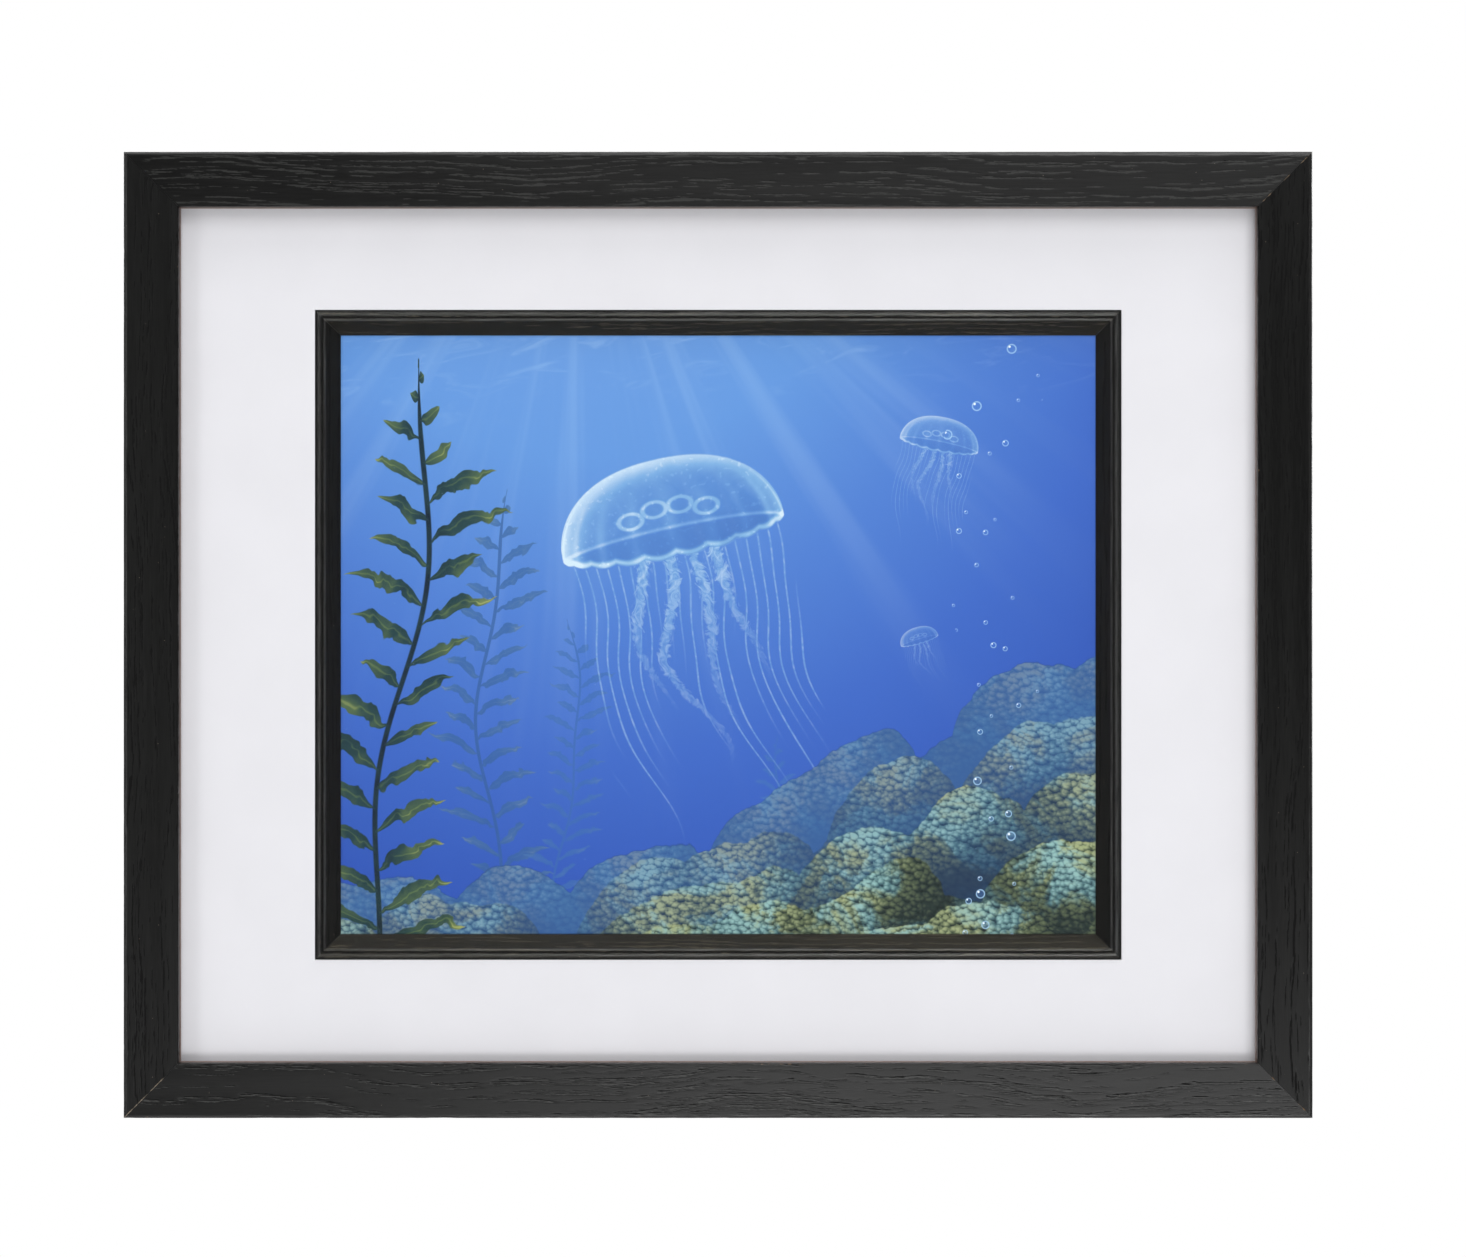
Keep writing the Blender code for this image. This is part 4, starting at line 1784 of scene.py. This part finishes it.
@dataclass
class Moulding:
    """A mitred strip of one side, modelled as the top side.

    Args:
        layout: the shared sizes.
        side: which side it is.
        half_run: half of the opening along the strip.
        half_across: half of the opening across the strip.
        piece: the strip, once it is modelled.
    """

    layout: Layout
    side: Side
    half_run: float
    half_across: float
    piece: bpy.types.Object | None = None

    def reach(self) -> float:
        """The strip's full width, from the opening outward."""
        raise NotImplementedError

    def block(self, name: str, low_y: float, high_y: float, inner: float, outer: float) -> None:
        """Starts from a block that is longer than the strip.

        Args:
            name: the piece's name.
            low_y: its front.
            high_y: its back.
            inner: its edge towards the opening, from the opening outward.
            outer: its other edge.
        """
        length = self.half_run + 2 * self.reach()
        self.piece = add_block(
            name,
            (-length, low_y, self.half_across + inner),
            (length, high_y, self.half_across + outer),
        )

    def mitre(self) -> None:
        """Cuts both ends at 45 degrees."""
        with editing(self.piece):
            for end in (-1, 1):
                normal = Vector((end, 0, -1)).normalized()
                corner = Vector((end * self.half_run, 0, self.half_across)) - normal * TIGHT / 2
                cut_across(self.piece, tuple(corner), tuple(normal), clear=True)

    def split_run(self, cuts: Sequence[int]) -> None:
        """Divides the edges along the strip, once for each number of cuts.

        Args:
            cuts: how many cuts each edge gets, time after time.
        """
        for count in cuts:
            with editing(self.piece, "EDGE"):
                pick_edges(self.piece, lambda a, b: lies_along_x(a, b, 0.4 * MM))
                bpy.ops.mesh.subdivide(number_cuts=count)

    def split_band(self, test: Callable[[Vector], bool], least: float, cuts: int) -> None:
        """Divides the edges that cross a band of the surface.

        Args:
            test: true for a point of the band.
            least: only longer edges are divided.
            cuts: how many cuts each gets.
        """
        with editing(self.piece, "EDGE"):
            pick_edges(
                self.piece,
                lambda a, b: test(a)
                and test(b)
                and (b - a).length > least
                and not lies_along_x(a, b, 0.1 * MM),
            )
            bpy.ops.mesh.subdivide(number_cuts=cuts)

    def map_grain(self, points: np.ndarray, across: np.ndarray) -> None:
        """Stores where the grain runs: the finish's coordinates, and a map whose U goes along it.

        Args:
            points: the mesh's points.
            across: each point's place across the unrolled surface.
        """
        piece = self.piece
        seed = np.full(len(points), 0.37 * (1 + self.side.turns))
        store(piece, "grain", np.stack([points[:, 0], across, seed], 1))
        corners = np.empty(len(piece.data.loops), np.int32)
        piece.data.loops.foreach_get("vertex_index", corners)
        flat = np.stack([points[corners, 0], across[corners]], 1)
        layer = piece.data.uv_layers.new(name=GRAIN_MAP)
        layer.uv.foreach_set("vector", flat.astype(np.float32).ravel())

    def from_mitre(self, points: np.ndarray) -> np.ndarray:
        """Each point's distance from the nearer mitre joint."""
        return np.abs(self.half_run - self.half_across - np.abs(points[:, 0]) + points[:, 2]) / math.sqrt(2)

    def mark_joints(self, points: np.ndarray, share: float = 1) -> None:
        """Stores each point's distance from the mitre in millimetres, and how rubbed and warm it is.

        Args:
            points: the mesh's points.
            share: how much of the corners' wear this strip has.
        """
        corners = [
            CORNERS[(self.side.turns + (0 if place > 0 else 3)) % 4] for place in np.sign(points[:, 0])
        ]
        rubbing, warmth, whole = np.array(corners).T
        out = (points[:, 2] - self.half_across) / self.reach()
        rubbing = rubbing * share * np.clip((out - whole) * 6 + 1, 0, 1)
        store(self.piece, "joint", np.stack([self.from_mitre(points) / MM, rubbing, warmth], 1))


@dataclass
class Rail(Moulding):
    """One rail of the outer moulding: flat face, rounded outer arris, lip and rabbet.

    Args:
        overlap: how far the lip reaches over the glass.
        lip: its thickness.
        slope: how far its edge leans outward.
        outer_radius: rounding of the outer arris.
        eased: rounding of the other arrises.
    """

    overlap: float = 6.05 * MM
    lip: float = 4 * MM
    slope: float = 0.3 * MM
    outer_radius: float = 1.2 * MM
    eased: float = 0.4 * MM

    def reach(self) -> float:
        """The moulding's width."""
        return (self.layout.outer[0] - self.layout.sight[0]) / 2

    def build(self) -> bpy.types.Object:
        """Models the rail.

        Returns:
            The finished piece.
        """
        name = f"frame_rail_{self.side.label}"
        sight, outside, depth = self.half_across, self.half_across + self.reach(), self.layout.depth
        self.block(name, 0, depth, self.overlap, self.reach())
        piece = self.piece
        with editing(piece):
            cut_across(piece, (0, self.lip, 0), (0, 1, 0))
            pick_faces(piece, lambda c, n: n.z < -0.9 and c.y < self.lip)
            bpy.ops.mesh.extrude_region_move(TRANSFORM_OT_translate={"value": (0, 0, -self.overlap)})
            pick_edges(
                piece, lambda a, b: all(near(p.y, 0) and near(p.z, sight + self.overlap) for p in (a, b))
            )
            bpy.ops.mesh.dissolve_edges()
            pick_edges(piece, lambda a, b: all(near(p.y, 0) and near(p.z, sight) for p in (a, b)))
            bpy.ops.transform.translate(value=(0, 0, self.slope))
            pick_edges(piece, lambda a, b: all(near(p.y, 0) and near(p.z, outside) for p in (a, b)))
            bpy.ops.mesh.bevel(offset=self.outer_radius, segments=7, affect="EDGES")
            pick_edges(
                piece,
                lambda a, b: lies_along_x(a, b)
                and (
                    near(a.y, 0) and near(a.z, sight + self.slope)
                    or near(a.y, depth) and near(a.z, outside)
                ),
            )
            bpy.ops.mesh.bevel(offset=self.eased, segments=4, affect="EDGES")
        self.mitre()
        self.split_run((14, 19))
        self.split_band(lambda p: near(p.y, 0), 5 * MM, 104)
        self.split_band(lambda p: near(p.z, outside), 5 * MM, 44)
        edge = sight + self.slope + SKIN
        self.split_band(lambda p: p.z < edge and p.y < self.lip + HAIR, MM, 6)
        self.open_pores(sight, outside)
        finish_surface(piece)
        settle(piece, self.layout.placed(self.side))
        return piece

    def open_pores(self, sight: float, outside: float) -> None:
        """Sinks the pores into the face and the outer wall, and stores what the finish reads, painted light
        and shade included.

        Args:
            sight: the lip's place, out from the frame's centre.
            outside: the outer wall's place.
        """
        piece = self.piece
        points, normals = points_and_normals(piece)
        out, y = points[:, 2] - sight, points[:, 1]
        inner = (out < self.slope + 0.6 * self.eased) & (y < self.lip + HAIR)
        across = np.where(inner, out - y, out + y)
        behind = (y > self.lip - SKIN) & (out < self.reach() - MM)
        hidden = (y > self.layout.depth - SKIN) | behind
        # the top and bottom rails' pores get painted highlights and shadows, the standing rails' pores
        # painted shade only
        belt = PoreBelt(seed=11 + self.side.turns)
        if self.side.run:
            belt = PoreBelt(
                seed=11 + self.side.turns, lit_from=0, spacing=1.15 * MM, density=300.0,
                length=(2 * MM, 9 * MM), width=(0.28 * MM, 0.5 * MM),
            )
        elif self.side is Side.BOTTOM:
            belt = PoreBelt(
                seed=11 + self.side.turns, lit_from=-1, spacing=1.6 * MM, density=400.0, sway=4.2 * MM,
                width=(0.6 * MM, 1.0 * MM), depth=(0.07 * MM, 0.13 * MM), lit_share=0.05,
            )
        deep, shade = belt.carve(points[:, 0], across)
        mitre = self.from_mitre(points)
        fade = np.where(hidden, 0, np.clip((mitre - 0.1 * MM) / (0.5 * MM), 0, 1))
        deep *= fade
        move_points(piece, points - normals * deep[:, None])
        from_side = outside - points[:, 2]
        arris = np.hypot(np.clip(from_side - 0.2 * MM, 0, None), np.clip(y - 0.2 * MM, 0, None))
        inner_arris = np.hypot(out - self.slope, y)
        store(piece, "wear", np.clip(1 - np.minimum(arris, inner_arris) / (0.9 * MM), 0, 1))
        self.mark_joints(points)
        polish = np.clip(2.2 - 2 * arris / self.outer_radius, 0, 1) * 0.8
        if self.side is Side.BOTTOM:
            polish = np.clip(1.7 - np.abs(from_side - 0.72 * MM) / (0.22 * MM), 0, 1) * 0.8
            # painted shade: the outermost 0.42 mm of the bottom rail's arris is painted dark
            shade = np.where((from_side < 0.42 * MM) & (y < self.outer_radius), -0.9, shade)
        store(piece, "polish", polish)
        store(piece, "lip", np.where(inner, np.clip(y / self.lip, 0, 1), 0.0))
        store(piece, "pore", shade * fade)
        self.map_grain(points, across)

    def dress(self) -> None:
        """Stained black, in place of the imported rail."""
        if self.side is Side.BOTTOM:
            # the bottom rail's pores get a brighter painted highlight
            BlackWood("satin_black_foot", pores=8.2, gloss=0.285, wear=0.5).dress(self.piece)
        elif self.side.run:
            BlackWood("satin_black_stile", shadow=0.34).dress(self.piece)
        else:
            BlackWood("satin_black_wood").dress(self.piece)
        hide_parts(f"rail_{self.side.label}")
        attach(self.piece, "root")


@dataclass
class Slip(Moulding):
    """One strip of the slip: a slope up from the picture, two rounded crests and a groove between them.

    Args:
        flange: the hidden part under the mat.
        crest: how far the crests stand out from the mat.
        groove: depth of the groove below the mat's face.
        drop: depth of the strip's toe below the mat's face.
        face: width of the visible part.
        inner_crest: the inner crest's share of that width, from the picture outward.
        hollow: the groove's share.
        outer_crest: the outer crest's share.
        bead: rounding of the crests.
    """

    flange: float = 5 * MM
    crest: float = 0.8 * MM
    groove: float = 0.3 * MM
    drop: float = 3.2 * MM
    face: float = 7.5 * MM
    inner_crest: float = 0.61
    hollow: float = 0.71
    outer_crest: float = 0.84
    bead: float = 0.3 * MM

    def reach(self) -> float:
        """The strip's full width, with its hidden flange."""
        return self.face + self.flange

    def build(self) -> bpy.types.Object:
        """Models the strip.

        Returns:
            The finished piece.
        """
        top = self.layout.mat_front - self.crest
        flange_front = self.layout.mat_back + GAP
        low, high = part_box(f"slip_{self.side.label}")
        back = high.y - self.layout.centre.y
        mat = self.layout.mat_front
        stations = (
            (0.0, mat + self.drop),
            (self.inner_crest * self.face, top),
            (self.hollow * self.face, mat - self.groove),
            (self.outer_crest * self.face, top),
            (self.face, mat - self.groove / 2),
        )
        self.block(f"slip_strip_{self.side.label}", top, back, 0, self.face)
        piece, inner = self.piece, self.half_across
        with editing(piece):
            for out, _ in stations[1:-1]:
                cut_across(piece, (0, 0, inner + out), (0, 0, 1))
            for out, level in stations:
                pick_edges(
                    piece, lambda a, b: all(near(p.y, top) and near(p.z, inner + out) for p in (a, b))
                )
                bpy.ops.transform.translate(value=(0, level - top, 0))
            cut_across(piece, (0, flange_front, 0), (0, 1, 0))
            pick_faces(piece, lambda c, n: n.z > 0.9 and c.y > flange_front)
            bpy.ops.mesh.extrude_region_move(TRANSFORM_OT_translate={"value": (0, 0, self.flange)})
            for out, level in stations[1:-1]:
                pick_edges(
                    piece,
                    lambda a, b: lies_along_x(a, b) and near(a.y, level) and near(a.z, inner + out),
                )
                bpy.ops.mesh.bevel(offset=self.bead, segments=6, affect="EDGES")
        self.mitre()
        self.split_run((14, 11))
        self.split_band(
            lambda p: p.z < inner + self.inner_crest * self.face and p.y < mat + self.drop + HAIR,
            2 * MM,
            24,
        )
        self.open_pores(inner)
        finish_surface(piece, 50)
        settle(piece, self.layout.placed(self.side))
        return piece

    def open_pores(self, inner: float) -> None:
        """Sinks fine pores into the slope, and stores what the finish reads, with painted light and shade
        in the pores and painted shade in the groove.

        Args:
            inner: the toe's place, out from the frame's centre.
        """
        piece = self.piece
        points, normals = points_and_normals(piece)
        out, y = points[:, 2] - inner, points[:, 1]
        # painted highlights and shadows in the head and foot strips' pores, painted shade only in the
        # standing strips'
        belt = PoreBelt(
            seed=31 + self.side.turns, lit_from=(1, 0, -1, 0)[self.side.turns], spacing=1.3 * MM,
            sway=0.6 * MM, width=(0.3 * MM, 0.5 * MM), depth=(0.02 * MM, 0.05 * MM),
        )
        deep, shade = belt.carve(points[:, 0], out)
        mitre = self.from_mitre(points)
        hidden = y > self.layout.mat_front + self.drop + SKIN
        fade = np.where(hidden, 0, np.clip((mitre - 0.1 * MM) / (0.5 * MM), 0, 1))
        deep *= fade
        move_points(piece, points - normals * deep[:, None])
        self.mark_joints(points, 0.5)
        # painted shade in the groove and on the outer slope
        store(piece, "pore", np.where(self.in_hollow(points, out), -0.8, shade * fade))
        crests = [
            np.abs(out - share * self.face) / self.bead for share in (self.inner_crest, self.outer_crest)
        ]
        store(piece, "polish", np.where(hidden, 0, np.clip(2.2 - np.minimum(*crests) * 1.4, 0, 1)))
        self.map_grain(points, out)

    def in_hollow(self, points: np.ndarray, out: np.ndarray) -> np.ndarray:
        """Finds where painted shade darkens the strip: in the groove, whose edges waver, and on the outer
        slope.

        Args:
            points: the mesh's points.
            out: each point's place from the picture outward.

        Returns:
            True for each point that is painted dark as shade.
        """
        waver = 0.12 * MM * np.sin(points[:, 0] * 900) * np.sin(points[:, 0] * 337 + self.side.turns)
        groove = np.abs(out - self.hollow * self.face - waver) < 0.28 * MM
        return groove | (out > 0.93 * self.face + waver) & (out < self.face + HAIR)

    def dress(self) -> None:
        """Stained black like the moulding; the two strips that lie along X get lighter, browner copies,
        painted light, the bottom one lightest.
        """
        satin = {"roughness": 0.33, "gloss": 0.11, "wear": 0.2}
        # lit and shaded copies of one stain: the foot strip is painted lightest, the head strip lighter,
        # the standing strips darkest
        if self.side is Side.BOTTOM:
            finish = BlackWood("satin_black_slip_foot", black=(0.0150, 0.0128, 0.0082), pores=3.2, **satin)
        elif self.side.run:
            finish = BlackWood("satin_black_slip", black=(0.0036, 0.0033, 0.0029), **satin)
        else:
            finish = BlackWood("satin_black_slip_head", black=(0.0096, 0.0084, 0.0060), pores=4.5, **satin)
        finish.dress(self.piece)
        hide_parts(f"slip_{self.side.label}")
        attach(self.piece, "root")


# ---------------------------------------------------------------- sheets and fixings


@dataclass
class Sheets:
    """Glass, mat, print and backing.

    Args:
        layout: the shared sizes.
        eased: rounding of the backing's edges.
        backing: the backing, once it is modelled.
    """

    layout: Layout
    eased: float = 0.35 * MM
    backing: bpy.types.Object | None = None

    def build(self) -> list[bpy.types.Object]:
        """Models the backing, whose edges are eased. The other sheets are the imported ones.

        Returns:
            The new pieces.
        """
        self.backing = copy_of_node("backing", "backing_board")
        soften(self.backing, self.eased)
        finish_surface(self.backing)
        return [self.backing]

    def dress(self) -> None:
        """Gives each sheet its own finish."""
        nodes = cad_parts
        MatBoard("white_mat_board").dress(nodes["mat"])
        SeaPrint("sea_print", centre=self.layout.centre.copy()).dress(nodes["print_sheet"])
        ClearGlass("picture_glass").dress(nodes["glazing"])
        Hardboard("brown_hardboard").dress(self.backing)
        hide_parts("backing")
        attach(self.backing, "root")


class Fixing(Enum):
    """The kinds of fixing, by the first word of their nodes' names."""

    TAB = "tab"
    WEDGE = "wedge"
    HANGER = "hanger"
    NAIL = "nail"
    BUMPER = "bumper"

    @staticmethod
    def of(node: str) -> "Fixing | None":
        """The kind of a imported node, or None if it isn't a fixing."""
        return next((kind for kind in Fixing if node.split("_")[0] == kind.value), None)


@dataclass
class Hardware:
    """Steel tabs, wedges, hanger and nails, and the rubber bumpers.

    Args:
        layout: the shared sizes; not used.
        eased: rounding of the sheet steel's edges.
        nail_round: rounding of the nails' heads.
        made: the new pieces, by their nodes' names.
    """

    layout: Layout
    eased: float = 0.1 * MM
    nail_round: float = 0.22 * MM
    made: dict[str, bpy.types.Object] = field(default_factory=dict)

    def build(self) -> list[bpy.types.Object]:
        """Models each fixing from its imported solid, with eased edges.

        Returns:
            The new pieces.
        """
        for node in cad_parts:
            kind = Fixing.of(node)
            if kind is None:
                continue
            piece = copy_of_node(node, f"fixing_{node}")
            if kind is Fixing.NAIL:
                soften(piece, self.nail_round, segments=3, angle_deg=50)
            elif kind is not Fixing.BUMPER:
                soften(piece, self.eased)
            finish_surface(piece, 40)
            self.made[node] = piece
        return list(self.made.values())

    def dress(self) -> None:
        """Zinc on the steel, and rubber on the bumpers."""
        for node, piece in self.made.items():
            rubber = Fixing.of(node) is Fixing.BUMPER
            finish = SoftRubber("black_rubber") if rubber else ZincSteel("bright_zinc")
            finish.dress(piece)
            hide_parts(node)
            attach(piece, "root")


# ---------------------------------------------------------------- studio


SENSOR_WIDTH = 36  # millimetres


@dataclass(frozen=True)
class SoftLight:
    """One soft box.

    Args:
        name: its name.
        place: where it is, from the frame's centre.
        size: its width and height.
        power: its power in watts.
    """

    name: str
    place: Place
    size: tuple[float, float]
    power: float

    def build(self, target: Vector) -> None:
        """Adds the light, aimed at the target.

        Args:
            target: the frame's centre.
        """
        lamp = bpy.data.lights.new(self.name, "AREA")
        lamp.shape = "RECTANGLE"
        lamp.size, lamp.size_y = self.size
        lamp.energy = self.power
        box = bpy.data.objects.new(self.name, lamp)
        box.location = target + Vector(self.place)
        box.rotation_mode = "QUATERNION"
        box.rotation_quaternion = (target - box.location).to_track_quat("-Z", "Y")
        box.visible_camera = False
        bpy.context.scene.collection.objects.link(box)


@dataclass
class Studio:
    """Camera, lights, white surroundings and floor.

    Args:
        layout: the shared sizes.
        distance: from the camera to the moulding's front.
        view_width: how much the camera sees at that distance.
        aim: where the camera's axis meets the frame, right of and above its centre.
        floor_drop: from the frame's centre down to the floor.
        floor_radius: how wide the round floor is.
        dim: strength of the soft light from all round.
        lights: the soft boxes.
    """

    layout: Layout
    distance: float = 1.0
    view_width: float = 460.72 * MM
    aim: tuple[float, float] = (4.68 * MM, 2.0 * MM)
    floor_drop: float = 1.8
    floor_radius: float = 3.4
    dim: float = 0.26
    lights: tuple[SoftLight, ...] = (
        SoftLight("soft_top", (0.41, -1.99, 1.34), (1.3, 1.35), 21.0),
        SoftLight("soft_bottom", (0.22, -2.0, -1.10), (1.2, 0.9), 5.0),
        SoftLight("low_kicker", (0.44, -2.0, -0.76), (1.4, 0.56), 15.6),
        SoftLight("soft_left", (-1.5, -1.6, 0.1), (0.6, 1.2), 6.0),
        SoftLight("overhead", (0.0, -0.5, 1.6), (1.6, 0.8), 9.0),
        SoftLight("underneath", (0.0, 0.45, -1.1), (1.6, 0.6), 5.0),
        SoftLight("floor_wash", (0.0, 0.6, 2.6), (3.4, 3.4), 26.0),
        SoftLight("soft_back", (-0.9, 2.3, 1.1), (1.6, 1.6), 34.0),
        SoftLight("soft_side", (1.9, 1.3, 0.5), (1.2, 1.2), 32.0),
    )

    def build(self) -> None:
        """Sets up the studio."""
        for light in self.lights:
            light.build(self.layout.centre)
        self._camera()
        self._surroundings()
        self._floor()
        bpy.context.scene.view_settings.view_transform = "Standard"

    def _camera(self) -> None:
        """A camera straight in front of the picture."""
        lens = bpy.data.cameras.new("camera")
        lens.sensor_width = SENSOR_WIDTH
        lens.lens = SENSOR_WIDTH * self.distance / self.view_width
        lens.clip_start = 0.01
        camera = bpy.data.objects.new("camera", lens)
        camera.location = self.layout.centre + Vector((self.aim[0], -self.distance, self.aim[1]))
        camera.rotation_euler = (math.pi / 2, 0, 0)
        bpy.context.scene.collection.objects.link(camera)
        bpy.context.scene.camera = camera

    def _surroundings(self) -> None:
        """White as the camera sees it, and a dim soft light for everything else."""
        world = bpy.data.worlds.new("studio")
        world.use_nodes = True
        bpy.context.scene.world = world
        tree = world.node_tree
        desk = Desk(tree)
        seen, dim = tree.nodes["Background"], desk.node("ShaderNodeBackground")
        seen.inputs["Color"].default_value = (1, 1, 1, 1)
        dim.inputs["Color"].default_value = (1, 1, 1, 1)
        dim.inputs["Strength"].default_value = self.dim
        path = desk.node("ShaderNodeLightPath")
        blend = desk.node("ShaderNodeMixShader")
        tree.links.new(path.outputs["Is Camera Ray"], blend.inputs[0])
        tree.links.new(dim.outputs[0], blend.inputs[1])
        tree.links.new(seen.outputs[0], blend.inputs[2])
        tree.links.new(blend.outputs[0], tree.nodes["World Output"].inputs["Surface"])

    def _floor(self) -> None:
        """A wide round floor below the picture."""
        deselect()
        place = self.layout.centre - Vector((0, 0, self.floor_drop))
        bpy.ops.mesh.primitive_circle_add(
            vertices=96, radius=self.floor_radius, fill_type="NGON", location=place
        )
        floor = bpy.context.active_object
        floor.name = "studio_floor"
        StudioFloor("studio_floor").dress(floor)


def main() -> None:
    """Builds and dresses each sub-assembly in order."""
    logging.basicConfig(level=logging.INFO, format="%(name)s: %(message)s")
    layout = Layout.read()
    Studio(layout).build()
    parts: list[Rail | Slip | Sheets | Hardware] = []
    for side in Side:
        parts.append(Rail(layout, side, layout.sight[side.run] / 2, layout.sight[1 - side.run] / 2))
        parts.append(Slip(layout, side, layout.picture[side.run] / 2, layout.picture[1 - side.run] / 2))
    parts += [Sheets(layout), Hardware(layout)]
    for part in parts:
        made = part.build()
        part.dress()
        for piece in made if isinstance(made, list) else [made]:
            LOG.info("%s: %d faces", piece.name, len(piece.data.polygons))


if __name__ == "__main__":
    main()
